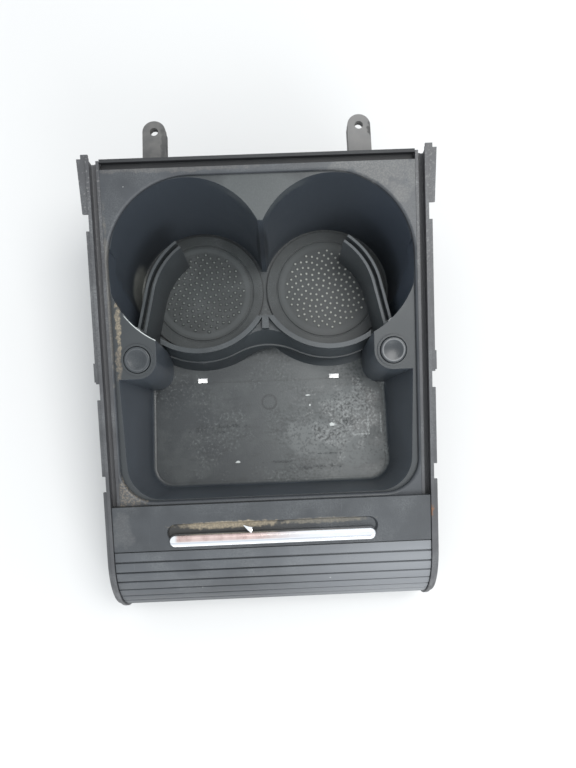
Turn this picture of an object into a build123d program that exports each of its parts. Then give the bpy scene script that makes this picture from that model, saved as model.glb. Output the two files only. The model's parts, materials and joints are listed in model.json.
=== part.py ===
"""Car cup holder: a centre console insert with two cup wells, a front tray and a roller shutter.

Millimetres. +Z is up along the cup wells, +Y is the rear with the screw lugs, and the origin is
the middle of the outline on the level surface that the side rails stand on. The deck slopes: v runs
rearward along it from the deck's middle, and w is the height above it, square to it.
"""

from math import cos, degrees, radians, sin, sqrt, tan
import os

from build123d import *

# Deck and opening, along the sloping deck
deck_slope = 12.25
opening_half_width = 84.4
opening_front_v = -86.2
opening_rear_v = 93.6
opening_front_radius = 19.0
opening_rear_radius = 47.0
opening_lip_radius = 1.6
frame_edge_width = 1.2
frame_thickness = 2.5
front_rim = 30.4
rear_rim = 4.1

# Side rails
seam = 0.1
runner_width = 1.7
groove_width = 2.6
lip_overhang = 0.7
side_wall = 1.2
rear_channel = 5.6
groove_depth = 4.0
groove_floor = 1.5
lip_thickness = 1.2
flange_reach = 2.1
flange_thickness = 1.6
rear_tab_reach = 5.0
rear_tab_taper = 1.5
middle_tab_reach = 2.9
rear_tab_length = 29.3
middle_tab_v = (-17.0, -6.5)
notch_starts_v = (65.0, -27.0, -79.0)
notch_length = 9.0
prong_reach = 2.7
prong_length = 2.0

# Shutter and its track
running_gap = 0.3
slat_thickness = 2.2
tongue_thickness = 1.9
slat_pitch = 6.0
slat_groove_width = 0.9
slat_groove_depth = 1.3
roll_ahead = 2.0
nose_radius = 36.0
nose_turn = 75.0
under_radius = 14.0
curtain_tail_back = -14.0
panel_setback = 1.6
panel_length = 25.8
panel_thickness = 2.7
panel_gap = 0.3
scoop_width = 10.4
scoop_reach = 6.0
scoop_depth = 1.9
scoop_slope = 30.0
scoop_end = 1.2
pull_length = 117.0
pull_width = 7.2
pull_inset = 5.4
pull_rise = 2.6
pull_seat = 0.8
pull_edge_radius = 2.2
pull_fit = 0.15
peg_radius = 1.9
peg_spread = 84.0

# Storage bin
bin_depth = 58.0
bin_wall = 2.2
bin_floor = 2.5
bin_flange = 3.0
wall_draft = 8.5
tray_side_inset = 9.6
tray_front_inset = 6.6
tray_corner_radius = 13.0
tray_foot_radius = 2.5
tray_pad_rise = 0.8
tray_pad_ahead = 19.0
gate_mark_ahead = 32.5
gate_mark_radius = 4.5
gate_mark_line = 0.7
gate_mark_rise = 0.3
cup_side_inset = 3.2
cup_rear_inset = 3.0
cup_overlap = 0.8
cup_draft = 2.2
wedge_nose_width = 3.0
slot_offset = 2.4
slot_ahead = 16.8
slot_length = 6.2
slot_width = 3.0

# Posts, buttons and arms
button_side_inset = 12.7
button_setback = 14.3
button_radius = 7.4
button_gap = 0.3
button_rise = 1.7
button_skirt = 5.0
button_crown = 1.6
button_travel = 3.0
stem_radius = 3.0
stem_fit = 0.05
guide_wall = 1.2
post_margin = 1.7
post_edge = 5.8
collar_rise = 0.7
spring_seat = 1.5
button_spring_gap = 1.4
button_spring_wire = 0.8
button_spring_length = 7.0
button_spring_turns = 4.0
pivot_beyond = 8.6
pivot_angle = -47.8
pin_radius = 2.0
pin_fit = 0.05
pin_cover = 1.0
hub_wall = 2.15
hub_gap = 0.6
arm_height = 36.0
arm_thickness = 5.6
arm_tip_inset = 18.3
arm_tip_angle = 62.7
arm_straight = 30.0
arm_lean = 11.2
arm_slot_width = 2.4
arm_slot_depth = 6.0
arm_mat_gap = 0.6
hub_floor_gap = 0.3
arm_fold = 12.0
arm_spring_gap = 0.7
arm_spring_room = 7.5
arm_spring_wire = 1.0
arm_spring_turns = 3.5

# Divider and mats
divider_clear = 1.0
divider_wall = 3.0
divider_height = 28.0
divider_lap = 2.9
divider_cusp_ahead = 23.0
divider_web_width = 4.0
divider_web_length = 8.0
skirt_height = 24.0
skirt_valley = 20.0
plinth_ledge = 0.8
plinth_wall = 3.4
plinth_foot = 3.0
plinth_height = 13.0
plinth_valley = 40.0
mat_fit = 1.8
mat_thickness = 2.0
mat_ring_inset = 6.9
mat_ring_width = 0.9
mat_ring_depth = 0.6

# Rear bracket
lug_x = 57.2
lug_reach = 19.45
lug_rise = 14.0
lug_rim = 4.1
lug_thickness = 4.0
lug_bore_radius = 2.3
lug_rib = 1.8
lug_rib_height = 7.0
bracket_wall = 1.8
bracket_height = 24.0

# Screws and their bosses
screw_radius = 2.0
screw_fit = 0.05
screw_length = 8.0
screw_head_radius = 4.0
screw_head_height = 2.0
screw_drive = 2.4
screw_drive_depth = 1.2
boss_wall = 2.2
bin_boss_backs = (-62.0, -20.0, 40.0)
bin_boss_height = 14.0
bracket_boss_drop = 11.5

slope_cos = cos(radians(deck_slope))
slope_sin = sin(radians(deck_slope))

# Places along the deck, from the opening forwards and rearwards
frame_front_v = opening_front_v - front_rim
frame_rear_v = opening_rear_v + rear_rim
rail_rear_v = frame_rear_v + rear_channel
roll_start_v = frame_front_v - roll_ahead
panel_rear_v = opening_front_v - panel_setback
panel_front_v = panel_rear_v - panel_length
pull_v = panel_front_v + pull_inset
lug_back = rail_rear_v * slope_cos + lug_reach

# Places across the width, from the middle outwards
frame_half = opening_half_width + frame_edge_width
runner_inner = frame_half + seam
runner_outer = runner_inner + runner_width
lip_inner = runner_outer + groove_width
wall_inner = lip_inner + lip_overhang
wall_outer = wall_inner + side_wall
slat_half = lip_inner - running_gap
tongue_half = wall_inner - running_gap

# Heights above the deck
slat_under = running_gap
slat_top = slat_under + slat_thickness
tongue_top = slat_under + tongue_thickness
lip_under = tongue_top + running_gap
lip_top = lip_under + lip_thickness
panel_top = slat_under + panel_thickness
plate_top = -frame_thickness

# Cups side by side, as wide as the opening leaves room for, and what stands around them
cup_radius = (opening_half_width - cup_side_inset + cup_overlap) / 2
cup_x = cup_radius - cup_overlap
cup_back = opening_rear_v * slope_cos - cup_rear_inset - cup_radius
cup_front_back = cup_back - cup_radius
tray_half_width = opening_half_width - tray_side_inset
tray_front_back = opening_front_v * slope_cos + tray_front_inset
mat_radius = cup_radius - mat_fit
mat_ring_radius = mat_radius - mat_ring_inset
button_bore = button_radius + button_gap
guide_radius = button_bore + guide_wall
post_radius = guide_radius + post_margin
post_edge_radius = cup_radius + post_edge
button_x = opening_half_width - button_side_inset
button_reach = sqrt((post_edge_radius + button_setback) ** 2 - (button_x - cup_x) ** 2)
button_v = (cup_back - button_reach + plate_top * slope_sin) / slope_cos
button_spring_radius = stem_radius + button_spring_gap + button_spring_wire / 2
pivot_radius = cup_radius + pivot_beyond
pivot_x = cup_x + pivot_radius * cos(radians(pivot_angle))
pivot_back = cup_back + pivot_radius * sin(radians(pivot_angle))
arm_tip_radius = cup_radius - arm_tip_inset
arm_tip_x = cup_x + arm_tip_radius * cos(radians(arm_tip_angle))
arm_tip_back = cup_back + arm_tip_radius * sin(radians(arm_tip_angle))
hub_radius = pin_radius + pin_fit + hub_wall
arm_spring_radius = pin_radius + arm_spring_gap + arm_spring_wire / 2
divider_inner_radius = cup_radius + divider_clear
divider_half_width = button_x - post_radius + divider_lap
divider_cusp_back = cup_back - divider_cusp_ahead
boss_radius = screw_radius + boss_wall
lug_radius = lug_bore_radius + lug_rim

# The deck's middle stands so that the rails' lower lips meet the level surface at z = 0
under_turn = 180 - deck_slope - nose_turn
nose_end = cos(radians(deck_slope + nose_turn))
deck_z = (
    lip_top
    - roll_start_v * slope_sin
    + nose_radius * (slope_cos - nose_end)
    + under_radius * (nose_end + 1)
)
nose_end_sin = sin(radians(deck_slope + nose_turn))
front_reach = (
    -roll_start_v * slope_cos
    + lip_top * slope_sin
    + (nose_radius + lip_top) * (nose_end_sin - slope_sin)
    + (under_radius + lip_top) * (1 - nose_end_sin)
)
rear_reach = lug_back + lug_radius
deck_y = (front_reach - rear_reach) / 2
deck = Plane(origin=(0, deck_y, deck_z), x_dir=(1, 0, 0), z_dir=(0, -slope_sin, slope_cos))

floor_z = deck_z - bin_depth
cup_y = deck_y + cup_back
pivot_y = deck_y + pivot_back
sides = (-1, 1)


def deck_point(v, w):
    """Side-view place (y, z) of a point v along the deck and w above it."""
    return (deck_y + v * slope_cos - w * slope_sin, deck_z + v * slope_sin + w * slope_cos)


def deck_y_at(v, w):
    """Level distance of a deck point from the origin."""
    return deck_point(v, w)[0]


def deck_z_at(y, w):
    """Height of the sloping plane w above the deck, over the level place y."""
    return deck_z + (y - deck_y) * slope_sin / slope_cos + w / slope_cos


def track(w, v_start, tail_y):
    """Draw the shutter's track at height w: deck run, front roll and level lower run."""
    bend = deck_point(roll_start_v, w)
    run = Line(deck_point(v_start, w), bend)
    nose = JernArc(bend, (-slope_cos, -slope_sin), nose_radius + w, nose_turn)
    under = JernArc(nose @ 1, nose % 1, under_radius + w, under_turn)
    tail = Line(under @ 1, (tail_y, (under @ 1).Y))
    return run @ 0, tail @ 1


def track_band(x, w_low, w_high, v_start, tail_y):
    """Side-view band between two heights of the track, on the plane at x."""
    with BuildSketch(Plane.YZ.offset(x)) as band:
        with BuildLine():
            top_start, top_end = track(w_high, v_start, tail_y)
            low_start, low_end = track(w_low, v_start, tail_y)
            Line(top_start, low_start)
            Line(top_end, low_end)
        make_face()
    return band.sketch


def track_place(length):
    """Plane on the track's deck-height line, length ahead of the roll's start, with Z outwards."""
    if length < 0:
        y, z = deck_point(roll_start_v - length, 0)
        heading = deck_slope
    else:
        y, z = deck_point(roll_start_v, 0)
        heading = deck_slope
        for radius, turn in ((nose_radius, nose_turn), (under_radius, under_turn)):
            angle = min(length, radians(turn) * radius) / radius
            start = radians(heading)
            y -= radius * (sin(start + angle) - sin(start))
            z -= radius * (cos(start) - cos(start + angle))
            heading += degrees(angle)
            length -= angle * radius
        y += length
    lean = radians(heading)
    return Plane(origin=(0, y, z), x_dir=(1, 0, 0), z_dir=(0, -sin(lean), cos(lean)))


def save(piece, label):
    """Write one finished piece."""
    piece.label = label
    export_step(piece, f"parts/{label}.step")


os.makedirs("parts", exist_ok=True)

# Side rails: a plate with a lip over the groove, a groove floor and a runner that carries the slats
rail_rear_y = deck_y_at(rail_rear_v, lip_top)
with BuildPart() as right_side_rail:
    with BuildSketch(Plane.YZ.offset(wall_inner)):
        with BuildLine():
            rear_top, rear_foot = track(lip_top, rail_rear_v, rail_rear_y)
            Line(rear_top, rear_foot)
        make_face()
    extrude(amount=side_wall)
    extrude(track_band(lip_inner, lip_under, lip_top, rail_rear_v, rail_rear_y), amount=lip_overhang)
    floor_low = -groove_depth - groove_floor
    groove_span = wall_inner - runner_inner
    extrude(track_band(runner_inner, floor_low, -groove_depth, rail_rear_v, rail_rear_y), amount=groove_span)
    extrude(track_band(runner_inner, -groove_depth, 0, rail_rear_v, rail_rear_y), amount=runner_width)
    rail_flange_low = lip_under - flange_thickness
    extrude(track_band(wall_outer, rail_flange_low, lip_under, rail_rear_v, rail_rear_y), amount=flange_reach)
    with BuildSketch(deck.offset(rail_flange_low)):
        Polygon(
            (wall_outer, rail_rear_v - rear_tab_length),
            (wall_outer + rear_tab_reach - rear_tab_taper, rail_rear_v - rear_tab_length),
            (wall_outer + rear_tab_reach, rail_rear_v),
            (wall_outer, rail_rear_v),
            align=None,
        )
        with Locations((wall_outer + middle_tab_reach / 2, sum(middle_tab_v) / 2)):
            Rectangle(middle_tab_reach, middle_tab_v[1] - middle_tab_v[0])
    extrude(amount=flange_thickness)
    with BuildSketch(deck.offset(rail_flange_low)):
        for notch_v in notch_starts_v:
            with Locations((wall_outer + flange_reach / 2, notch_v + notch_length / 2)):
                Rectangle(flange_reach, notch_length)
    extrude(amount=flange_thickness, mode=Mode.SUBTRACT)
    split(bisect_by=Plane(origin=(0, rail_rear_y, 0), z_dir=(0, 1, 0)), keep=Keep.BOTTOM)
    with BuildSketch(deck.offset(rail_flange_low)):
        with Locations((wall_outer + (prong_reach - side_wall) / 2, rail_rear_v)):
            Rectangle(prong_reach + side_wall, 2 * prong_length)
    extrude(amount=flange_thickness)
    bore_places = [(deck_y + back, floor_z + bin_boss_height) for back in bin_boss_backs]
    bracket_boss_y = deck_y_at(frame_rear_v, 0) + boss_radius
    bracket_boss_z = deck_z_at(bracket_boss_y, 0) - bracket_boss_drop
    bore_places.append((bracket_boss_y, bracket_boss_z))
    with BuildSketch(Plane.YZ.offset(wall_inner)):
        with Locations(*bore_places):
            Circle(screw_radius + screw_fit)
    extrude(amount=side_wall, mode=Mode.SUBTRACT)
save(right_side_rail.part, "right_side_rail")
with BuildPart() as left_side_rail:
    mirror(right_side_rail.part, about=Plane.YZ)
save(left_side_rail.part, "left_side_rail")


def post_outline(side):
    """Level outline of the post that carries a button, open to the side wall."""
    boss_x = side * button_x
    boss_y = deck_y_at(button_v, plate_top)
    turn = [radians(angle) for angle in (-90, 225, 180)]
    ring = [(boss_x + side * post_radius * cos(a), boss_y + post_radius * sin(a)) for a in turn]
    inner_y = cup_y - sqrt(post_edge_radius**2 - (abs(ring[2][0]) - cup_x) ** 2)
    outer_y = cup_y - sqrt(post_edge_radius**2 - (frame_half - cup_x) ** 2)
    lean = radians(-45)
    edge_middle = (side * (cup_x + post_edge_radius * cos(lean)), cup_y + post_edge_radius * sin(lean))
    with BuildSketch(Plane.XY.offset(floor_z)) as outline:
        with BuildLine():
            Line((side * frame_half, ring[0][1]), ring[0])
            ThreePointArc(ring[0], ring[1], ring[2])
            Line(ring[2], (ring[2][0], inner_y))
            ThreePointArc((ring[2][0], inner_y), edge_middle, (side * frame_half, outer_y))
            Line((side * frame_half, outer_y), (side * frame_half, ring[0][1]))
        make_face()
    return outline.sketch


def bin_space(grow, bottom_z):
    """The hollow of the bin, or its outside when grown by the wall."""
    rise = deck_z_at(cup_y + cup_radius * 2, 0) - bottom_z
    front = deck_y + tray_front_back - grow
    rear = cup_y - tray_foot_radius
    with BuildPart() as space:
        with BuildSketch(Plane.XY.offset(bottom_z)) as foot:
            with Locations((0, (front + rear) / 2)):
                Rectangle(2 * (tray_half_width + grow), rear - front)
            fillet(foot.vertices().group_by(Axis.Y)[0], radius=tray_corner_radius + grow)
        extrude(amount=rise, taper=-wall_draft)
        foot_edges = space.faces().sort_by(Axis.Z)[0].edges().sort_by(Axis.Y)[:-1]
        fillet(foot_edges, radius=tray_foot_radius)
        with Locations((-cup_x, cup_y, bottom_z), (cup_x, cup_y, bottom_z)):
            low = cup_radius + grow
            high = low + rise * tan(radians(cup_draft))
            Cone(low, high, rise, align=(Align.CENTER, Align.CENTER, Align.MIN))
    return space.part


def disc(x, y, z, radius):
    """Level round outline at height z."""
    with BuildSketch(Plane.XY.offset(z)) as face:
        with Locations((x, y)):
            Circle(radius)
    return face.sketch


def column(outline, w_top):
    """Upright column on a level outline, cut off along the sloping plane w_top."""
    with BuildPart() as post:
        extrude(outline, amount=2 * bin_depth)
        split(bisect_by=deck.offset(w_top), keep=Keep.BOTTOM)
    return post.part


def wedge_nose(z):
    """Level place of the wedge's blunt nose at height z."""
    radius = cup_radius + (z - floor_z) * tan(radians(cup_draft))
    return cup_y + sqrt(radius**2 - (cup_x - wedge_nose_width / 2) ** 2)


def arm_outline(width, z, fold=0):
    """Level outline of the right arm's blade, straight and then curled inwards, folded out by an angle."""
    root = Vector(pivot_x, pivot_y)
    reach = Vector(arm_tip_x, deck_y + arm_tip_back) - root
    heading = Vector(0, 1).rotate(Axis.Z, arm_lean - fold)
    bend = root + heading * arm_straight
    with BuildSketch(Plane.XY.offset(z)) as blade:
        with BuildLine():
            Line(root, bend)
            TangentArc(bend, root + reach.rotate(Axis.Z, -fold), tangent=heading)
        trace(line_width=width)
    return blade.sketch


arm_foot_z = floor_z + mat_thickness + arm_mat_gap
arm_top_z = arm_foot_z + arm_height
with BuildPart() as arm_sweep:
    for step in range(4):
        path = arm_outline(arm_thickness + 2 * hub_gap, floor_z, arm_fold * step / 3)
        extrude(path, amount=arm_top_z + hub_gap - floor_z)

nose_top_z = deck_z_at(cup_y + cup_x, 0)
with BuildPart() as hollow:
    add(bin_space(0, floor_z))
    for side in sides:
        extrude(post_outline(side), amount=2 * bin_depth, mode=Mode.SUBTRACT)
    with BuildSketch(Plane.YZ.offset(-wedge_nose_width)):
        Polygon(
            (cup_y, floor_z),
            (wedge_nose(floor_z), floor_z),
            (wedge_nose(nose_top_z), nose_top_z),
            (cup_y, nose_top_z),
            align=None,
        )
    extrude(amount=2 * wedge_nose_width)

plate_under = plate_top - bin_flange
pin_top = plate_top - pin_cover
seat_top = plate_top + button_rise - button_crown - button_spring_length
seat_under = seat_top - spring_seat
pocket_radius = hub_radius + hub_gap
boss_end = wall_inner - seam

# Storage bin: cup wells, tray and button posts in one moulding
with BuildPart() as storage_bin:
    add(bin_space(bin_wall, floor_z - bin_floor))
    with Locations((0, deck_y, floor_z)):
        Box(2 * frame_half, 8 * bin_depth, 8 * bin_depth, mode=Mode.INTERSECT)
    with BuildSketch(Plane.YZ.offset(tray_half_width + bin_wall)):
        with Locations(*bore_places[:-1]):
            Circle(boss_radius)
    extrude(amount=boss_end - tray_half_width - bin_wall)
    mirror(about=Plane.YZ)
    with BuildSketch(deck.offset(plate_under)):
        with Locations((0, (frame_front_v + frame_rear_v) / 2)):
            Rectangle(2 * frame_half, frame_rear_v - frame_front_v)
    extrude(amount=bin_flange)
    split(bisect_by=deck.offset(plate_top), keep=Keep.BOTTOM)
    add(hollow.part, mode=Mode.SUBTRACT)
    # Raised tray floor with the round mark of the moulding gate
    pad_front = deck_y + tray_front_back + tray_foot_radius
    pad_rear = deck_y + cup_front_back - tray_pad_ahead
    with BuildSketch(Plane.XY.offset(floor_z)) as pad:
        with Locations((0, (pad_front + pad_rear) / 2)):
            Rectangle(2 * (tray_half_width - tray_foot_radius), pad_rear - pad_front)
        fillet(pad.vertices(), radius=tray_corner_radius - tray_foot_radius)
    extrude(amount=tray_pad_rise)
    with BuildSketch(Plane.XY.offset(floor_z + tray_pad_rise)):
        with Locations((0, deck_y + cup_front_back - gate_mark_ahead)):
            Circle(gate_mark_radius)
            Circle(gate_mark_radius - gate_mark_line, mode=Mode.SUBTRACT)
    extrude(amount=gate_mark_rise)
    for side in sides:
        # Hollow post with a pocket for the arm's hub and a guide for the button
        core = offset(post_outline(side), amount=-bin_wall, mode=Mode.PRIVATE)
        core.position = (0, 0, -bin_floor)
        add(column(core, plate_under), mode=Mode.SUBTRACT)
        pivot = (side * pivot_x, pivot_y, floor_z)
        tube = disc(*pivot, pocket_radius + bin_wall) & post_outline(side)
        add(column(tube, plate_under))
        add(column(disc(*pivot, pocket_radius), plate_under), mode=Mode.SUBTRACT)
        add(column(disc(*pivot, pin_radius + pin_fit), pin_top + pin_fit), mode=Mode.SUBTRACT)
        add(arm_sweep.part if side > 0 else arm_sweep.part.mirror(Plane.YZ), mode=Mode.SUBTRACT)
        with BuildSketch(deck.offset(seat_under)):
            with Locations((side * button_x, button_v)):
                Circle(guide_radius)
        extrude(amount=plate_top + collar_rise - seat_under)
        with BuildSketch(deck.offset(seat_top)):
            with Locations((side * button_x, button_v)):
                Circle(button_bore)
        extrude(amount=plate_top + collar_rise - seat_top, mode=Mode.SUBTRACT)
        with BuildSketch(deck.offset(seat_under)):
            with Locations((side * button_x, button_v)):
                Circle(stem_radius + stem_fit)
        extrude(amount=spring_seat, mode=Mode.SUBTRACT)
    slot_x = cup_x + slot_offset
    slot_y = deck_y + cup_front_back - slot_ahead
    with BuildSketch(Plane.XY.offset(floor_z - bin_floor)):
        with Locations((-slot_x, slot_y), (slot_x, slot_y)):
            Rectangle(slot_length, slot_width)
    extrude(amount=bin_floor + tray_pad_rise, mode=Mode.SUBTRACT)
    screw_hole = screw_length - side_wall + seam
    for side in sides:
        with BuildSketch(Plane.YZ.offset(side * boss_end)):
            with Locations(*bore_places[:-1]):
                Circle(screw_radius + screw_fit)
        extrude(amount=-side * screw_hole, mode=Mode.SUBTRACT)
save(storage_bin.part, "storage_bin")

# Deck frame: the flat surround with a rounded lip
with BuildPart() as deck_frame:
    with BuildSketch(deck.offset(-frame_thickness)):
        with Locations((0, (frame_front_v + frame_rear_v) / 2)):
            Rectangle(2 * frame_half, frame_rear_v - frame_front_v)
    extrude(amount=frame_thickness)
    with BuildSketch(deck.offset(-frame_thickness)) as opening:
        with Locations((0, (opening_front_v + opening_rear_v) / 2)):
            Rectangle(2 * opening_half_width, opening_rear_v - opening_front_v)
        corners = opening.vertices().group_by(Axis.Y)
        fillet(corners[0], radius=opening_front_radius)
        fillet(opening.vertices().group_by(Axis.Y)[-1], radius=opening_rear_radius)
    extrude(amount=frame_thickness, mode=Mode.SUBTRACT)
    deck_face = deck_frame.faces().sort_by(Axis(deck.origin, deck.z_dir))[-1]
    fillet(deck_face.inner_wires()[0].edges(), radius=opening_lip_radius)
save(deck_frame.part, "deck_frame")

# Rear bracket: a channel across the rear with two screw lugs
bracket_half = runner_inner - seam
lug_z = deck_z + lug_rise
with BuildPart() as rear_bracket:
    channel_front = frame_rear_v + seam
    with BuildSketch(deck.offset(-groove_depth - groove_floor)):
        with Locations((0, (channel_front + rail_rear_v) / 2)):
            Rectangle(2 * bracket_half, rail_rear_v - channel_front)
    extrude(amount=groove_floor)
    with BuildSketch(deck.offset(-bracket_height)):
        with Locations((0, rail_rear_v - bracket_wall / 2)):
            Rectangle(2 * bracket_half, bracket_wall)
    extrude(amount=bracket_height)
    lug_w = (lug_rise - rail_rear_v * slope_sin) / slope_cos
    lug_root = deck_y_at(rail_rear_v - bracket_wall / 2, lug_w)
    lug_end = deck_y + lug_back
    with BuildSketch(Plane.XY.offset(lug_z - lug_thickness)):
        for x in (-lug_x, lug_x):
            with Locations((x, lug_end)):
                Circle(lug_radius)
            with Locations((x, (lug_root + lug_end) / 2)):
                Rectangle(2 * lug_radius, lug_end - lug_root)
    extrude(amount=lug_thickness)
    with BuildSketch(Plane.XY.offset(lug_z - lug_rib_height)):
        for x in (-lug_x, lug_x):
            for rim in (-1, 1):
                with Locations((x + rim * (lug_radius - lug_rib / 2), (lug_root + lug_end) / 2)):
                    Rectangle(lug_rib, lug_end - lug_root)
    extrude(amount=lug_rib_height)
    with BuildSketch(Plane.XY.offset(lug_z - lug_thickness)):
        with Locations((-lug_x, lug_end), (lug_x, lug_end)):
            Circle(lug_bore_radius)
    extrude(amount=lug_thickness, mode=Mode.SUBTRACT)
    for side in sides:
        with BuildSketch(Plane.YZ.offset(side * (bracket_half - screw_hole))):
            with Locations(bore_places[-1]):
                Circle(boss_radius)
        extrude(amount=side * (boss_end - bracket_half + screw_hole))
        with BuildSketch(Plane.YZ.offset(side * boss_end)):
            with Locations(bore_places[-1]):
                Circle(screw_radius + screw_fit)
        extrude(amount=-side * screw_hole, mode=Mode.SUBTRACT)
save(rear_bracket.part, "rear_bracket")

# Cup divider: the wall that closes the front of both cups
cup_centres = [(-cup_x, cup_y), (cup_x, cup_y)]


def cup_fronts(radius, valley, height):
    """Level outline of both round fronts at a radius and height, with a rounded valley between them."""
    with BuildSketch(Plane.XY.offset(floor_z + height)) as fronts:
        with Locations(*cup_centres):
            Circle(radius)
        if valley:
            fillet(fronts.vertices().sort_by(Axis.Y)[0], radius=valley)
        with Locations((0, deck_y + divider_cusp_back - radius)):
            Rectangle(2 * divider_half_width, 2 * radius, mode=Mode.INTERSECT)
    return fronts.sketch


divider_outer_radius = divider_inner_radius + divider_wall
plinth_radius = divider_outer_radius + plinth_wall
skirt_foot_radius = plinth_radius - plinth_ledge
with BuildPart() as cup_divider:
    extrude(cup_fronts(divider_outer_radius, 0, 0), amount=divider_height)
    with BuildSketch(Plane.XY.offset(floor_z)):
        with Locations((0, deck_y + divider_cusp_back - divider_web_length / 2)):
            Rectangle(divider_web_width, divider_web_length)
    extrude(amount=divider_height)
    # Sloping skirt and, below it, the plinth that flares to the floor
    skirt_foot = cup_fronts(skirt_foot_radius, plinth_valley, plinth_height)
    loft([skirt_foot, cup_fronts(divider_outer_radius, skirt_valley, skirt_height)], ruled=True)
    plinth_top = cup_fronts(plinth_radius, plinth_valley, plinth_height)
    loft([cup_fronts(plinth_radius + plinth_foot, plinth_valley, 0), plinth_top], ruled=True)
    with BuildSketch(Plane.XY.offset(floor_z)):
        with Locations(*cup_centres):
            Circle(divider_inner_radius)
    extrude(amount=divider_height, mode=Mode.SUBTRACT)
    for side in sides:
        keep_out = offset(post_outline(side), amount=running_gap, mode=Mode.PRIVATE)
        extrude(keep_out, amount=divider_height, mode=Mode.SUBTRACT)
save(cup_divider.part, "cup_divider")

# Cup mats: round mats with a ring groove
with BuildPart() as right_cup_mat:
    with BuildSketch(Plane.XY.offset(floor_z)):
        with Locations((cup_x, cup_y)):
            Circle(mat_radius)
    extrude(amount=mat_thickness)
    with BuildSketch(Plane.XY.offset(floor_z + mat_thickness)):
        with Locations((cup_x, cup_y)):
            Circle(mat_ring_radius + mat_ring_width / 2)
            Circle(mat_ring_radius - mat_ring_width / 2, mode=Mode.SUBTRACT)
    extrude(amount=-mat_ring_depth, mode=Mode.SUBTRACT)
save(right_cup_mat.part, "right_cup_mat")
with BuildPart() as left_cup_mat:
    mirror(right_cup_mat.part, about=Plane.YZ)
save(left_cup_mat.part, "left_cup_mat")

# Arms: curled blades with a slotted top edge, turning on upright pins
with BuildPart() as right_arm:
    extrude(arm_outline(arm_thickness, arm_foot_z), amount=arm_height)
    extrude(arm_outline(arm_slot_width, arm_top_z), amount=-arm_slot_depth, mode=Mode.SUBTRACT)
    hub_foot_z = floor_z + hub_floor_gap
    arm_spring_reach = arm_spring_radius + arm_spring_wire
    spring_ceiling = deck_z_at(pivot_y - arm_spring_reach, plate_under)
    hub_height = spring_ceiling - arm_spring_room - hub_foot_z
    extrude(disc(pivot_x, pivot_y, hub_foot_z, hub_radius), amount=hub_height)
    extrude(disc(pivot_x, pivot_y, hub_foot_z, pin_radius + pin_fit), amount=hub_height, mode=Mode.SUBTRACT)
save(right_arm.part, "right_arm")
with BuildPart() as left_arm:
    mirror(right_arm.part, about=Plane.YZ)
save(left_arm.part, "left_arm")

with BuildPart() as right_arm_pin:
    add(column(disc(pivot_x, pivot_y, floor_z, pin_radius), pin_top))
save(right_arm_pin.part, "right_arm_pin")
with BuildPart() as left_arm_pin:
    mirror(right_arm_pin.part, about=Plane.YZ)
save(left_arm_pin.part, "left_arm_pin")

# Torsion springs between the arms' hubs and the post plates
arm_spring_low = hub_foot_z + hub_height + running_gap + arm_spring_wire / 2
arm_spring_high = spring_ceiling - arm_spring_wire
arm_spring_length = arm_spring_high - arm_spring_low
with BuildPart() as right_arm_spring:
    with BuildLine() as arm_coil:
        Helix(
            pitch=arm_spring_length / arm_spring_turns,
            height=arm_spring_length,
            radius=arm_spring_radius,
            center=(pivot_x, pivot_y, arm_spring_low),
        )
    with BuildSketch(Plane(origin=arm_coil.line @ 0, z_dir=arm_coil.line % 0)):
        Circle(arm_spring_wire / 2)
    sweep(path=arm_coil.line, is_frenet=True)
save(right_arm_spring.part, "right_arm_spring")
with BuildPart() as left_arm_spring:
    mirror(right_arm_spring.part, about=Plane.YZ)
save(left_arm_spring.part, "left_arm_spring")

# Buttons: hollow caps with a stem, each on a coil spring
cap_top = plate_top + button_rise
crown_under = cap_top - button_crown
with BuildPart() as right_button:
    with BuildSketch(deck.offset(cap_top - button_skirt)):
        with Locations((button_x, button_v)):
            Circle(button_radius)
    extrude(amount=button_skirt)
    fillet(right_button.faces().sort_by(Axis(deck.origin, deck.z_dir))[-1].edges(), radius=button_crown / 2)
    with BuildSketch(deck.offset(cap_top - button_skirt)):
        with Locations((button_x, button_v)):
            Circle(button_radius - button_crown)
    extrude(amount=button_skirt - button_crown, mode=Mode.SUBTRACT)
    stem_under = seat_under - button_travel
    with BuildSketch(deck.offset(stem_under)):
        with Locations((button_x, button_v)):
            Circle(stem_radius)
    extrude(amount=crown_under - stem_under)
save(right_button.part, "right_button")
with BuildPart() as left_button:
    mirror(right_button.part, about=Plane.YZ)
save(left_button.part, "left_button")

with BuildPart() as right_button_spring:
    coil_low = seat_top + button_spring_wire / 2
    coil_length = crown_under - seat_top - button_spring_wire
    coil_centre = deck.from_local_coords((button_x, button_v, coil_low))
    with BuildLine() as button_coil:
        Helix(
            pitch=coil_length / button_spring_turns,
            height=coil_length,
            radius=button_spring_radius,
            center=coil_centre,
            direction=deck.z_dir,
        )
    with BuildSketch(Plane(origin=button_coil.line @ 0, z_dir=button_coil.line % 0)):
        Circle(button_spring_wire / 2)
    sweep(path=button_coil.line, is_frenet=True)
save(right_button_spring.part, "right_button_spring")
with BuildPart() as left_button_spring:
    mirror(right_button_spring.part, about=Plane.YZ)
save(left_button_spring.part, "left_button_spring")

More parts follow.
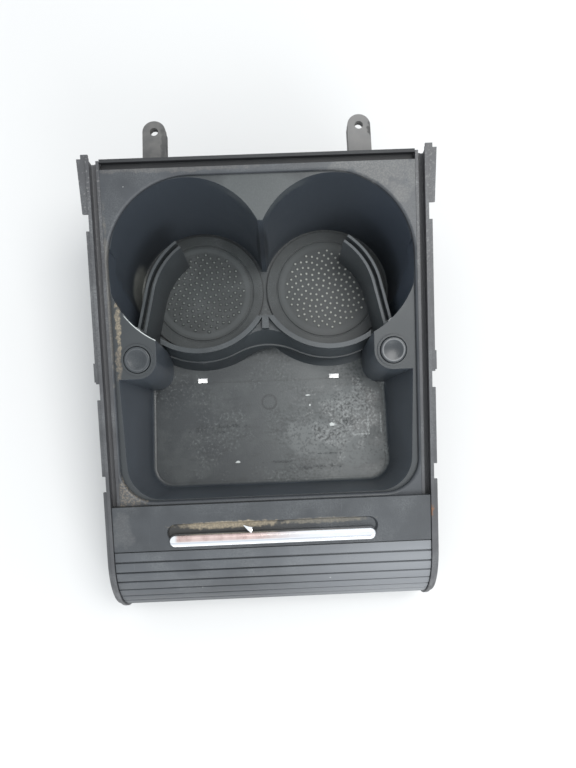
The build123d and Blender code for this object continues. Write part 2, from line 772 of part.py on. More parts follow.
# Shutter panel with its finger scoop, and the bright pull bar
scoop_v = pull_v + pull_width / 2 + scoop_reach - scoop_width / 2
with BuildPart() as shutter_panel:
    panel_v = (panel_front_v + panel_rear_v) / 2
    with BuildSketch(deck.offset(slat_under)):
        with Locations((0, panel_v)):
            Rectangle(2 * slat_half, panel_length)
    extrude(amount=panel_thickness)
    with BuildSketch(deck.offset(slat_under)):
        with Locations((0, panel_v)):
            Rectangle(2 * tongue_half, panel_length)
    extrude(amount=tongue_thickness)
    with BuildSketch(deck.offset(panel_top)):
        with Locations((0, scoop_v)):
            SlotOverall(pull_length + 2 * scoop_end, scoop_width)
    extrude(amount=-scoop_depth, taper=scoop_slope, mode=Mode.SUBTRACT)
    with BuildSketch(deck.offset(panel_top - pull_seat)):
        with Locations((0, pull_v)):
            SlotOverall(pull_length + 2 * pull_fit, pull_width + 2 * pull_fit)
    extrude(amount=pull_seat, mode=Mode.SUBTRACT)
    with BuildSketch(deck.offset(slat_under)):
        with Locations((-peg_spread / 2, pull_v), (peg_spread / 2, pull_v)):
            Circle(peg_radius + pull_fit)
    extrude(amount=panel_thickness, mode=Mode.SUBTRACT)
save(shutter_panel.part, "shutter_panel")

with BuildPart() as pull_bar:
    with BuildSketch(deck.offset(panel_top - pull_seat)):
        with Locations((0, pull_v)):
            SlotOverall(pull_length, pull_width)
    extrude(amount=pull_seat + pull_rise)
    fillet(pull_bar.faces().sort_by(Axis(deck.origin, deck.z_dir))[-1].edges(), radius=pull_edge_radius)
    with BuildSketch(deck.offset(slat_under)):
        with Locations((-peg_spread / 2, pull_v), (peg_spread / 2, pull_v)):
            Circle(peg_radius)
    extrude(amount=panel_thickness - pull_seat)
save(pull_bar.part, "pull_bar")

# Shutter curtain: slats joined by thin hinges, round the roll and back under the tray
curtain_start_v = panel_front_v - panel_gap
curtain_tail_y = deck_y + curtain_tail_back
with BuildPart() as shutter_curtain:
    extrude(
        track_band(-slat_half, slat_under, slat_top, curtain_start_v, curtain_tail_y),
        amount=2 * slat_half,
    )
    extrude(
        track_band(-tongue_half, slat_under, tongue_top, curtain_start_v, curtain_tail_y),
        amount=2 * tongue_half,
    )
    roll_end = track_place(radians(nose_turn) * nose_radius + radians(under_turn) * under_radius)
    curtain_length = (
        curtain_start_v
        - roll_start_v
        + radians(nose_turn) * nose_radius
        + radians(under_turn) * under_radius
        + curtain_tail_y
        - roll_end.origin.Y
    )
    slat_count = int(curtain_length / slat_pitch)
    for joint in range(1, slat_count):
        place = track_place(roll_start_v - curtain_start_v + joint * slat_pitch).offset(slat_top)
        with BuildSketch(place):
            Rectangle(2 * tongue_half, slat_groove_width)
        extrude(amount=-slat_groove_depth, mode=Mode.SUBTRACT)
save(shutter_curtain.part, "shutter_curtain")

# Screws that hold the side rails
with BuildPart() as rail_screws:
    for side in sides:
        with BuildSketch(Plane.YZ.offset(side * wall_outer)):
            with Locations(*bore_places):
                Circle(screw_radius)
        extrude(amount=-side * screw_length)
        with BuildSketch(Plane.YZ.offset(side * wall_outer)):
            with Locations(*bore_places):
                Circle(screw_head_radius)
        extrude(amount=side * screw_head_height)
        with BuildSketch(Plane.YZ.offset(side * (wall_outer + screw_head_height))):
            with Locations(*bore_places):
                RegularPolygon(screw_drive, 6)
        extrude(amount=-side * screw_drive_depth, mode=Mode.SUBTRACT)
save(rail_screws.part, "rail_screws")
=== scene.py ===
# %% [markdown]
# # A car cup holder with a roller shutter
# This console insert has two cup wells at the rear, a tray in front of them and a ribbed shutter that rolls
# down over the front. The exact solids come from the CAD frame. Blender adds what a moulder's tool and years
# of use add: rounded edges, grain, dots on the mats, single slats, dust and scratches.

import json
from math import asin, cos, pi, radians, sin

import bmesh
import bpy
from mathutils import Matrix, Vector


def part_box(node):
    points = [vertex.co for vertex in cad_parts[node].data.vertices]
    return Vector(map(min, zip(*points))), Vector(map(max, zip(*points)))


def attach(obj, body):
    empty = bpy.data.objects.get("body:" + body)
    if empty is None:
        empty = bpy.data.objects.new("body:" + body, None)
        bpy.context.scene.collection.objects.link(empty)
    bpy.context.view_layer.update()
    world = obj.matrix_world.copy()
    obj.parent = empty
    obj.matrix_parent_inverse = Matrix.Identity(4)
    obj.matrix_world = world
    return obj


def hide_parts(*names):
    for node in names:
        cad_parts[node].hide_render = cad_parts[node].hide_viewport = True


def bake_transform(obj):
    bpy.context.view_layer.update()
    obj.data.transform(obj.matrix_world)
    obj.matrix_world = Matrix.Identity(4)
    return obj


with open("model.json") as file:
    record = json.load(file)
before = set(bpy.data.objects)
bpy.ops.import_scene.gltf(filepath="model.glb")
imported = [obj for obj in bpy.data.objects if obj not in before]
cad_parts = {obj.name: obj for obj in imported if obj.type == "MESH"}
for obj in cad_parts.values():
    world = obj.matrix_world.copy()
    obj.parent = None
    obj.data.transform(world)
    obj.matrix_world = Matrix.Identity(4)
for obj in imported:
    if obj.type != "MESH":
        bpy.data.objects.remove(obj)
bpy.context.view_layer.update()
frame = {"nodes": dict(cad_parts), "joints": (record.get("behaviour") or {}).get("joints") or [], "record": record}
record = frame["record"]
scene = bpy.context.scene

# %% [markdown]
# ## The sloping deck
# Nearly everything lies on a deck that rises to the rear, so it helps to think in the deck's own directions:
# u to the right, v rearward along the deck and w square to it. The shutter's joint already holds the slope,
# and the lug bore holds the deck's place, so neither is typed in twice.

# %% Deck directions
MM = 0.001
SIDES = (("left", -1), ("right", 1))
LUG_BACK = 120.4  # from the deck's middle to the lug bores, level, in mm
LUG_RISE = 12.0  # from the deck's middle up to the middle of the bores
slide = next(j for j in frame["joints"] if j["name"] == "shutter_slide")
along = Vector(slide["axis"])
square = Vector((0, -along.z, along.y))
slope = asin(along.z)
lug_bore = next(Vector(m["pos_m"]) for m in record["mounts"] if m["name"] == "right_lug_bore")
deck_middle = Vector((0, lug_bore.y - LUG_BACK * MM, lug_bore.z - LUG_RISE * MM))
floor_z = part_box("right_cup_mat")[0][2]


def on_deck(u, v, w):
    """A place on the deck in metres, from u, v and w in mm."""
    return deck_middle + Vector((u * MM, 0, 0)) + along * (v * MM) + square * (w * MM)


def on_floor(x, back, rise=0.0):
    """A place on the level floor of the tray, x and back from the deck's middle in mm."""
    return Vector((x * MM, deck_middle.y + back * MM, floor_z + rise * MM))


print("deck middle:", [round(c * 1000, 2) for c in deck_middle], "slope:", round(slope * 180 / pi, 2))

# %% [markdown]
# ## Camera
# The photograph was taken from close above with a wide phone lens, leaning a little towards the front edge.
# Perspective is strong at that distance, so the lens and the place both matter: a longer lens from further
# away would hide the walls of the cup wells.

# %% Camera above the tray
CAMERA_OFFSET = Vector((7.87, -65.33, 327.53))  # from the deck's middle, in mm
CAMERA_TURN = (7.50, -0.38, -2.36)  # in degrees
camera_data = bpy.data.cameras.new("overhead_camera")
camera_data.sensor_fit = "VERTICAL"
camera_data.sensor_height = 24.0
camera_data.lens = 18.75
camera_data.clip_start = 0.01
camera = bpy.data.objects.new("overhead_camera", camera_data)
camera.location = deck_middle + CAMERA_OFFSET * MM
camera.rotation_euler = [radians(angle) for angle in CAMERA_TURN]
scene.collection.objects.link(camera)
scene.camera = camera
print("camera at", [round(c, 3) for c in camera.location])

# %% [markdown]
# ## Floor and light
# A pale floor and a bright room give the even light of the photograph, with a soft shadow to the left. One
# large soft light hangs overhead to the right: the deck, the tray and the slats all grow brighter that way,
# because the satin plastic mirrors it. One in front gives the shutter's roll its sheen, and a low strip fills
# the plated bar with white. Two small lamps under the bin let the floor show bright through the drains.

# %% Pale floor and room light
FLOOR_REACH = 3.0
FLOOR_DROP = 0.0005
FLOOR_TONE = (0.645, 0.643, 0.640, 1)
ROOM_TINT = (0.93, 0.97, 1.0, 1)
ROOM_STRENGTH = 1.1
floor_material = bpy.data.materials.new("white_floor")
floor_material.use_nodes = True
floor_shader = floor_material.node_tree.nodes["Principled BSDF"]
floor_shader.inputs["Base Color"].default_value = FLOOR_TONE
floor_shader.inputs["Roughness"].default_value = 0.7
corner_signs = ((-1, -1), (1, -1), (1, 1), (-1, 1))
floor_corners = [(sx * FLOOR_REACH, sy * FLOOR_REACH, -FLOOR_DROP) for sx, sy in corner_signs]
floor_mesh = bpy.data.meshes.new("floor")
floor_mesh.from_pydata(floor_corners, [], [(0, 1, 2, 3)])
floor_mesh.materials.append(floor_material)
floor = bpy.data.objects.new("floor", floor_mesh)
scene.collection.objects.link(floor)

world = bpy.data.worlds.new("bright_room")
world.use_nodes = True
world.node_tree.nodes["Background"].inputs["Color"].default_value = ROOM_TINT
world.node_tree.nodes["Background"].inputs["Strength"].default_value = ROOM_STRENGTH
scene.world = world
scene.view_settings.view_transform = "Standard"
print("floor:", FLOOR_REACH * 2, "m wide, room strength", ROOM_STRENGTH)

# %% Soft lights and drain lamps
SOFT_LIGHTS = {  # place, width and height in metres, power in watts and tint
    "overhead_softbox": ((0.46, 0.10, 1.30), (0.70, 0.70), 10.0, (1.0, 0.99, 0.97)),
    "front_softbox": ((0.55, -1.10, 0.92), (0.70, 0.70), 6.5, (0.95, 0.98, 1.0)),
    "front_strip": ((0.0, -1.20, 0.30), (1.50, 0.25), 1.7, (1.0, 1.0, 1.0)),
}
DRAIN_LAMP = (50.0, -16.0, -9.0)  # x, back and rise from the tray floor, in mm
DRAIN_POWER = 0.019


def add_lamp(name, kind, place, power, **options):
    """Add a light and set its options."""
    data = bpy.data.lights.new(name, kind)
    data.energy = power
    for key, value in options.items():
        setattr(data, key, value)
    lamp = bpy.data.objects.new(name, data)
    lamp.location = place
    scene.collection.objects.link(lamp)
    return lamp


for name, (place, (width, height), power, tint) in SOFT_LIGHTS.items():
    lamp = add_lamp(name, "AREA", place, power, shape="RECTANGLE", size=width, size_y=height, color=tint)
    lamp.rotation_euler = (deck_middle - Vector(place)).to_track_quat("-Z", "Y").to_euler()
for side, sign in SIDES:
    place = on_floor(sign * DRAIN_LAMP[0], *DRAIN_LAMP[1:])
    add_lamp(f"{side}_drain_lamp", "POINT", place, DRAIN_POWER, shadow_soft_size=0.002)

# %% [markdown]
# ## A short way to add nodes
# Both the finishes and the repeated shapes below are node trees. Written out in full, each node takes four
# lines of Python. One helper makes a node, sets its options and fills or links its inputs in one line, so the
# trees read almost as they look in the editor. A socket knows the tree it belongs to, so the helpers that
# combine sockets need not be told.

# %% Node helpers
SHADER = "ShaderNodeTree"
FLOAT = "NodeSocketFloat"
GEOMETRY = "NodeSocketGeometry"
MATERIAL = "NodeSocketMaterial"
SOCKET_TYPES = {float: FLOAT, int: "NodeSocketInt", tuple: "NodeSocketVector"}
ORIGIN = (0.0, 0.0, 0.0)


def node(tree, kind, inputs=None, **options):
    """Add a node; inputs are values, the sockets that feed them, or nodes for their first output."""
    made = tree.nodes.new(kind)
    for key, value in options.items():
        setattr(made, key, value)
    for key, value in (inputs or {}).items():
        if isinstance(value, bpy.types.Node):
            value = value.outputs[0]
        if isinstance(value, bpy.types.NodeSocket):
            tree.links.new(value, made.inputs[key])
        else:
            made.inputs[key].default_value = value
    return made


def math(operation, first, second=0.0):
    """The result of a Math node."""
    tree = next(value.id_data for value in (first, second) if isinstance(value, bpy.types.NodeSocket))
    return node(tree, "ShaderNodeMath", {0: first, 1: second}, operation=operation).outputs[0]


def vector_math(operation, first, second=ORIGIN):
    """The result of a Vector Math node."""
    made = node(first.id_data, "ShaderNodeVectorMath", {0: first, 1: second}, operation=operation)
    return made.outputs["Value" if operation == "LENGTH" else "Vector"]


def product(*factors):
    """Several values multiplied."""
    result = factors[0]
    for factor in factors[1:]:
        result = math("MULTIPLY", result, factor)
    return result


def smooth(value, low, high):
    """A value eased from 0 at low to 1 at high."""
    ease = node(value.id_data, "ShaderNodeMapRange", {"Value": value, "From Min": low, "From Max": high})
    ease.interpolation_type = "SMOOTHSTEP"
    return ease.outputs[0]


def noise(place, scale, detail):
    """The value of a Noise Texture."""
    inputs = {"Vector": place, "Scale": scale, "Detail": detail}
    return node(place.id_data, "ShaderNodeTexNoise", inputs).outputs[0]


print("helpers: node, math, vector_math, product, smooth, noise")

# %% Places and directions on a piece
def object_place(tree):
    """The place on the piece, in metres."""
    return node(tree, "ShaderNodeTexCoord").outputs["Object"]


def object_axes(tree):
    """The x, y and z of the place on the piece, in metres."""
    return node(tree, "ShaderNodeSeparateXYZ", {0: object_place(tree)}).outputs


def facing_up(tree):
    """1 where the surface looks up, 0 on walls."""
    facing = node(tree, "ShaderNodeNewGeometry").outputs["Normal"]
    return smooth(node(tree, "ShaderNodeSeparateXYZ", {0: facing}).outputs["Z"], 0.35, 0.95)


print("masks can read: object_place, object_axes, facing_up")

# %% Node groups
def open_group(name, kind, **inputs):
    """A node group and the sockets that bring its inputs; an input is a default value or a socket type."""
    tree = bpy.data.node_groups.new(name, kind)
    for label, value in inputs.items():
        socket_type = SOCKET_TYPES.get(type(value), value)
        socket = tree.interface.new_socket(label.replace("_", " "), in_out="INPUT", socket_type=socket_type)
        if socket_type is not value:
            socket.default_value = value
    return tree, tree.nodes.new("NodeGroupInput").outputs


def close_group(tree, socket_type, **outputs):
    """Give a node group its outputs."""
    for label in outputs:
        tree.interface.new_socket(label, in_out="OUTPUT", socket_type=socket_type)
    ends = tree.nodes.new("NodeGroupOutput").inputs
    for label, socket in outputs.items():
        tree.links.new(socket, ends[label])
    return tree


print("sockets of a group:", sorted(SOCKET_TYPES.values()))

# %% [markdown]
# ## Shared surface effects
# Moulded plastic is never one flat colour. Six small shader groups hold what several finishes share: the
# grain of the mould, dust that settles on what faces up, fine scratches, loose specks, soft patches at a
# chosen place and thin rings. Each is built once and gets its own values in each finish.

# %% Group: mould grain
def grain_group():
    """Fine height and large uneven tone of a textured mould."""
    tree, given = open_group("mould_grain", SHADER, Scale=1400.0, Blotch_Scale=45.0)
    place = object_place(tree)
    tone = smooth(noise(place, given["Blotch Scale"], 5.0), 0.3, 0.7)
    return close_group(tree, FLOAT, Height=noise(place, given["Scale"], 2.0), Tone=tone)


mould_grain = grain_group()
print("group:", mould_grain.name)

# %% Group: settled dust
def dust_group():
    """Dust that gathers in clouds on faces that look up."""
    tree, given = open_group("settled_dust", SHADER, Amount=0.4, Scale=60.0)
    place = object_place(tree)
    cloud = smooth(noise(place, given["Scale"], 8.0), 0.38, 0.72)
    speck = smooth(noise(place, 1900.0, 1.0), 0.35, 0.65)
    return close_group(tree, FLOAT, Mask=product(cloud, speck, facing_up(tree), given["Amount"]))


settled_dust = dust_group()
print("group:", settled_dust.name)

# %% Group: fine scratches
def scratch_group():
    """Thin broken lines in two directions, on faces that look up."""
    tree, given = open_group("fine_scratches", SHADER, Scale=40.0, Amount=0.3)
    place = object_place(tree)
    lines = []
    for turn, stretch in ((0.4, (1.0, 45.0, 8.0)), (-0.9, (38.0, 1.0, 8.0))):
        how = {"Vector": place, "Rotation": (0, 0, turn), "Scale": stretch}
        turned_place = node(tree, "ShaderNodeMapping", how)
        lines.append(smooth(noise(turned_place, given["Scale"], 2.0), 0.66, 0.74))
    both = math("MAXIMUM", *lines)
    return close_group(tree, FLOAT, Mask=product(both, facing_up(tree), given["Amount"]))


fine_scratches = scratch_group()
print("group:", fine_scratches.name)

# %% Group: loose specks
def speck_group():
    """Separate round specks of uneven size."""
    tree, given = open_group("loose_specks", SHADER, Scale=300.0, Size=0.25, Share=0.2)
    cells = node(tree, "ShaderNodeTexVoronoi", {"Vector": object_place(tree), "Scale": given["Scale"]})
    draw = node(tree, "ShaderNodeSeparateColor", {0: cells.outputs["Color"]}).outputs
    chosen = math("LESS_THAN", draw[0], given["Share"])
    reach = product(given["Size"], math("ADD", draw[1], 0.4))
    inside = math("LESS_THAN", cells.outputs["Distance"], reach)
    return close_group(tree, FLOAT, Mask=product(chosen, inside))


loose_specks = speck_group()
print("group:", loose_specks.name)

# %% Group: soft patch
def patch_group():
    """A soft egg-shaped patch, ragged at its edge and broken into specks, at a place on the piece."""
    edge = {"Ragged": 0.5, "Ragged_Scale": 250.0, "Speckle": 0.0}
    tree, given = open_group("soft_patch", SHADER, Centre=ORIGIN, Reach=(0.01, 0.01, 0.01), **edge)
    place = object_place(tree)
    away = vector_math("SUBTRACT", place, given["Centre"])
    far = vector_math("LENGTH", vector_math("DIVIDE", away, given["Reach"]))
    swing = math("SUBTRACT", noise(place, given["Ragged Scale"], 5.0), 0.5)
    body = smooth(math("ADD", far, product(swing, given["Ragged"], 4.0)), 1.15, 0.65)
    speck = smooth(noise(place, 1100.0, 2.0), 0.45, 0.60)
    kept = math("SUBTRACT", 1.0, product(given["Speckle"], math("SUBTRACT", 1.0, speck)))
    return close_group(tree, FLOAT, Mask=product(body, kept))


soft_patch = patch_group()
print("group:", soft_patch.name)

# %% Group: thin ring
def ring_group():
    """A thin line at one radius round an axis."""
    sizes = {"Radius": 0.01, "Half_Width": 0.0005}
    tree, given = open_group("ring_line", SHADER, Centre=ORIGIN, Axis=(0.0, 0.0, 1.0), **sizes)
    away = vector_math("SUBTRACT", object_place(tree), given["Centre"])
    flat = vector_math("SUBTRACT", away, vector_math("PROJECT", away, given["Axis"]))
    far = vector_math("LENGTH", flat)
    off = math("ABSOLUTE", math("SUBTRACT", far, given["Radius"]))
    return close_group(tree, FLOAT, Mask=smooth(math("DIVIDE", off, given["Half Width"]), 1.0, 0.35))


ring_line = ring_group()
print("shader groups:", [g.name for g in bpy.data.node_groups])

# %% [markdown]
# ## Finishes
# A finish starts from one function for satin moulded plastic: tone from the grain group, dust and scratches
# mixed over it, and the grain as bump. What one piece alone shows, such as a spill or a dusty corner, is
# added to its own finish with patches, and each patch is a colour, an amount and a place.

# %% Finish class
DUST = (0.26, 0.275, 0.28)
PATCH_ROUGH = 0.25
UPRIGHT = (0, 0, 1)


class Finish:
    """A material under way: its tree, its shader and the colour and roughness that feed it so far."""

    def __init__(self, name):
        self.material = bpy.data.materials.new(name)
        self.material.use_nodes = True
        self.tree = self.material.node_tree
        self.shader = self.tree.nodes["Principled BSDF"]
        self.colour = None
        self.rough = None

    def group(self, tree, output, **values):
        """Place a shared group with its own values and give one of its outputs."""
        inputs = {key.replace("_", " "): value for key, value in values.items()}
        return node(self.tree, "ShaderNodeGroup", inputs, node_tree=tree).outputs[output]

    def mix(self, mask, first, second):
        """Mix two colours by a mask; a colour is three numbers or a socket."""
        ends = [c if isinstance(c, bpy.types.NodeSocket) else (*c, 1) for c in (first, second)]
        inputs = {0: mask, 6: ends[0], 7: ends[1]}
        return node(self.tree, "ShaderNodeMix", inputs, data_type="RGBA").outputs[2]

    def level(self, mask, low, high):
        """A number that goes from low to high with a mask."""
        span = {"Value": mask, "To Min": low, "To Max": high}
        return node(self.tree, "ShaderNodeMapRange", span).outputs[0]

    def lay(self, mask, amount, colour, roughen=0.0):
        """Lay a colour over the finish where a mask is, and make it rougher there."""
        part = product(mask, amount)
        self.colour = self.mix(part, self.colour, colour)
        if roughen:
            self.rough = math("ADD", self.rough, product(part, roughen))

    def spot(self, centre, reach, ragged=0.5, scale=250.0, speckle=0.0):
        """The mask of a soft patch; its reach is in mm."""
        edge = {"Ragged": ragged, "Ragged_Scale": scale, "Speckle": speckle}
        return self.group(soft_patch, "Mask", Centre=centre, Reach=[r * MM for r in reach], **edge)

    def patch(self, centre, reach, colour, amount, *edge):
        """Lay a colour on a soft patch, which is also a little rougher."""
        self.lay(self.spot(centre, reach, *edge), amount, colour, PATCH_ROUGH)

    def ring(self, centre, axis, radius, half_width):
        """The mask of a thin ring; sizes are in mm."""
        sizes = {"Radius": radius * MM, "Half_Width": half_width * MM}
        return self.group(ring_line, "Mask", Centre=centre, Axis=axis, **sizes)

    def feed(self, height, depth):
        """Link the finished colour, roughness and bump to the shader."""
        bump = node(self.tree, "ShaderNodeBump", {"Height": height, "Distance": depth * MM, "Strength": 1.0})
        self.tree.links.new(self.colour, self.shader.inputs["Base Color"])
        self.tree.links.new(self.rough, self.shader.inputs["Roughness"])
        self.tree.links.new(bump.outputs[0], self.shader.inputs["Normal"])


print("a finish can:", [step for step in vars(Finish) if not step.startswith("_")])

# %% Satin plastic
def across_x(finish, low, high):
    """A mask that grows from left to right between two places, in mm."""
    return smooth(object_axes(finish.tree)["X"], low * MM, high * MM)


def satin_plastic(name, colour, roughness, dust=0.16, scratches=0.12, depth=0.05, grain=1400.0, wear_and_light=None):
    """Grained moulded plastic with dust and scratches; wear adds this piece's own marks and painted light."""
    finish = Finish(name)
    tone = finish.group(mould_grain, "Tone", Scale=grain)
    veil = finish.group(settled_dust, "Mask", Amount=dust)
    hair = finish.group(fine_scratches, "Mask", Amount=scratches)
    finish.colour = finish.mix(tone, [c * 0.88 for c in colour], [c * 1.12 for c in colour])
    finish.rough = finish.level(tone, roughness - 0.03, roughness + 0.04)
    finish.lay(hair, 1.0, [min(1.0, c * 2.5 + 0.02) for c in colour])
    finish.lay(veil, 1.0, DUST, 0.4)
    if wear_and_light:
        wear_and_light(finish)
    finish.feed(finish.group(mould_grain, "Height", Scale=grain), depth)
    return finish.material


print("satin plastic ready, dust colour", DUST)

# %% [markdown]
# ## The bin's wear and painted light
# The bin shows the most use: beige dust beside the left post, a dried spill on the right of the tray floor,
# dark streaks and a few bright flakes. Its finish also holds painted light: shade in the cup wells and in the
# crease between them, light on the right wall and behind the left arm, a highlight on the rear edge of the
# left post, and a sheen with broad highlights on the tray floor that grows to the right. The mould's gate left
# a small ring in the middle of the tray. Every mark is placed in millimetres from the deck's middle, so it
# stays put from any camera. The marks of one kind share a look and differ in place and reach, so each kind is
# a short table.

# %% Marks on the bin
BEIGE = (0.36, 0.30, 0.21)
PALE = (0.62, 0.65, 0.64)
CHARCOAL = (0.053, 0.062, 0.074)
# painted shade for the walls of the cup wells, and painted light for the right wall
WELL_WALL_SHADE = (0.037, 0.045, 0.056)
RIGHT_WALL_LIGHT = (0.050, 0.062, 0.082)
POLISHED = (0.027, 0.031, 0.033)
# painted sheen on the tray floor, lighter to the right
SHEEN_RIGHT = (0.100, 0.110, 0.111)
FILM = (0.072, 0.080, 0.080)
SMEAR = (0.013, 0.015, 0.016)
CUP_X = 40.2  # the cups' middles, in mm from the deck's middle
CUP_BACK = 47.47
PLATE_TOP = -2.5  # the post plates lie this far under the deck, in mm
GATE_BACK = -26.0
MARK_DEPTH = 3
FLAKES = (
    ((-21.3, -63.5), (1.6, 0.8)),
    ((25.1, -22.5), (1.7, 0.5)),
    ((26.0, -29.0), (0.7, 0.6)),
    ((39.6, -42.0), (2.2, 1.2)),
)
DRIED_LINES = (((62.9, -43.4), (0.8, 6.5)), ((57.7, -49.0), (5.0, 0.8)), ((71.0, -42.0), (0.6, 8.0)))
# painted highlights: broad pale zones on the tray floor
HIGHLIGHT_ZONES = (((33.0, -50.0), (26.0, 11.0)), ((58.0, -63.0), (16.0, 8.0)), ((50.0, -30.0), (16.0, 10.0)))
STREAKS = (
    ((36.0, -60.2), (8.5, 0.5)),
    ((30.0, -68.5), (14.0, 1.3)),
    ((51.0, -40.0), (5.0, 2.6)),
    ((-27.0, -40.5), (11.0, 1.2)),
    ((-33.0, -44.0), (6.0, 0.9)),
    ((7.5, -64.5), (10.0, 1.0)),
    ((-45.0, -42.2), (7.0, 2.2)),
)


def floor_marks(finish, places, *look):
    """Patches on the tray floor; look is the colour, the amount and how ragged they are."""
    for (x, back), (reach_x, reach_back) in places:
        finish.patch(on_floor(x, back), (reach_x, reach_back, MARK_DEPTH), *look)


print("marks on the tray:", len(FLAKES + DRIED_LINES + HIGHLIGHT_ZONES + STREAKS))

# %% Painted light in the wells, and sheen and film on the tray floor
def well_light_and_shade(finish):
    """Painted shade in the wells and their crease, painted light on the right wall and behind the left arm,
    and a darker tone on faces that look up.
    """
    tree = finish.tree
    at_wells = smooth(object_axes(tree)["Y"], deck_middle.y, deck_middle.y + 14 * MM)
    # painted shade: the walls of the cup wells are darker where shade falls in them
    finish.lay(at_wells, 0.85, WELL_WALL_SHADE)
    # painted light: the right wall of the right well is lighter, as if lit
    finish.lay(product(at_wells, across_x(finish, 45, 85)), 0.7, RIGHT_WALL_LIGHT)
    # painted shade: a dark streak down the crease where the two cup wells meet
    finish.patch(on_floor(0, 67, 30), (4, 5, 34), (0.012, 0.015, 0.019), 0.8, 0.0)
    finish.lay(facing_up(tree), 0.9, POLISHED)
    # painted light: the lower wall behind the left arm is paler, as if lit from the right
    finish.patch(on_floor(-82, 47, 5), (9, 21, 16), (0.30, 0.31, 0.29), 0.9, 0.15, 120.0, 0.2)


def floor_sheen_and_film(finish, on_pad):
    """A painted sheen on the tray floor that grows to the right, a mottled film and wiped smears."""
    tree = finish.tree
    # painted sheen: the tray floor grows lighter to the right, where the overhead light is mirrored
    finish.lay(product(on_pad, across_x(finish, -40, 78)), 0.85, SHEEN_RIGHT)
    film = smooth(noise(object_place(tree), 60.0, 6.0), 0.44, 0.62)
    finish.lay(product(on_pad, film), 0.35, FILM, 0.12)
    wiped = node(tree, "ShaderNodeMapping", {"Vector": object_place(tree), "Scale": (1.0, 2.5, 1.0)})
    smear = smooth(noise(wiped, 110.0, 8.0), 0.55, 0.70)
    finish.lay(product(on_pad, smear), 0.3, SMEAR)


print("wear: wells, tray floor")

# %% Wear and painted highlights of the posts and the spill
def post_dust_and_highlight(finish):
    """A dusty wedge between the cups, beige dust by the left post and a painted highlight on its edge."""
    finish.patch(on_deck(0, 82, PLATE_TOP), (30, 20, 8), (0.10, 0.11, 0.11), 0.45, 0.25, 120.0, 0.2)
    finish.patch(on_deck(-81.2, 14, PLATE_TOP), (1.6, 14, 6), BEIGE, 0.55, 0.6, 300.0, 0.5)
    finish.patch(on_deck(-82, -7, PLATE_TOP), (1.8, 10, 4), (0.23, 0.19, 0.14), 0.55, 0.6, 300.0, 0.55)
    # painted highlight: a pale line along the rear edge of the left post
    edge = finish.ring(on_floor(-CUP_X, CUP_BACK), UPRIGHT, 46.8, 0.7)
    near = finish.spot(on_deck(-72, 8, PLATE_TOP), (12, 16, 4))
    finish.lay(product(edge, near), 0.75, PALE)


def spill_and_highlights(finish, on_pad):
    """Painted highlights and the dried spill: mottling all over, specks where thick, streaks and flakes."""
    tree = finish.tree
    spill = finish.spot(on_floor(55, -38), (24, 22, 5), 0.9, 90.0)
    # painted highlight: broad pale zones where the overhead light is mirrored in the tray floor
    floor_marks(finish, HIGHLIGHT_ZONES, (0.17, 0.18, 0.18), 0.6, 0.7, 70.0)
    grit = noise(object_place(tree), 620.0, 4.0)
    mottled = product(on_pad, smooth(noise(object_place(tree), 38.0, 3.0), 0.40, 0.62))
    finish.lay(product(mottled, smooth(grit, 0.48, 0.40)), 0.45, (0.016, 0.018, 0.019))
    finish.lay(product(mottled, smooth(grit, 0.56, 0.67)), 0.4, (0.14, 0.15, 0.15))
    pale_specks = finish.group(loose_specks, "Mask", Scale=700.0, Size=0.34, Share=0.10)
    finish.lay(product(spill, smooth(grit, 0.45, 0.38)), 0.6, (0.020, 0.022, 0.023))
    finish.lay(product(spill, smooth(grit, 0.53, 0.64)), 0.7, (0.24, 0.25, 0.25))
    finish.lay(product(spill, pale_specks), 0.35, (0.28, 0.29, 0.29))
    finish.rough = math("SUBTRACT", finish.rough, product(spill, 0.06))
    floor_marks(finish, STREAKS, (0.016, 0.018, 0.02), 0.7, 0.9, 300.0, 0.7)
    floor_marks(finish, FLAKES, PALE, 0.85, 0.35, 700.0)
    floor_marks(finish, DRIED_LINES, PALE, 0.40, 0.5, 500.0, 0.6)


print("wear: posts, spill")

# %% Bin finish
def bin_wear_and_light(finish):
    """Everything that only the bin shows, from the walls to the marks on the tray floor."""
    well_light_and_shade(finish)
    low_down = smooth(object_axes(finish.tree)["Z"], floor_z + 10 * MM, floor_z + 4 * MM)
    on_pad = product(facing_up(finish.tree), low_down)
    floor_sheen_and_film(finish, on_pad)
    post_dust_and_highlight(finish)
    gate = finish.ring(on_floor(0, GATE_BACK), UPRIGHT, 4.6, 0.9)
    finish.lay(gate, 0.55, (0.014, 0.016, 0.018))
    spill_and_highlights(finish, on_pad)


charcoal_moulding = satin_plastic("charcoal_moulding", CHARCOAL, 0.38, wear_and_light=bin_wear_and_light)
print("bin finish:", charcoal_moulding.name, "with", len(FLAKES), "flakes")

# %% [markdown]
# ## Finishes of the deck, rails, panel and bracket
# The deck has a speckled brown corner at the front left and pale dust at the rear right, lightened further
# as a painted reflection. The finger scoop of the panel is darkened with painted shade and grime, with beige
# dust along its rear rim. The rails' groove is painted lighter against its shade, and the rails are scuffed
# where they were slid out of the console, with a spot of rust from a clip. The slats carry a painted sheen
# that grows to the right. The bracket is dark, and its lugs are worn to grey.

# %% Deck directions and lint
LINT = (0.42, 0.43, 0.42)


def deck_directions(tree):
    """Sockets with u, v and w of the surface, in mm."""
    shift = Vector((0, deck_middle.dot(along), deck_middle.dot(square)))
    turn = {"Location": -shift / MM, "Rotation": (-slope, 0, 0), "Scale": (1 / MM, 1 / MM, 1 / MM)}
    turned_place = node(tree, "ShaderNodeMapping", {"Vector": object_place(tree), **turn})
    return node(tree, "ShaderNodeSeparateXYZ", {0: turned_place}).outputs


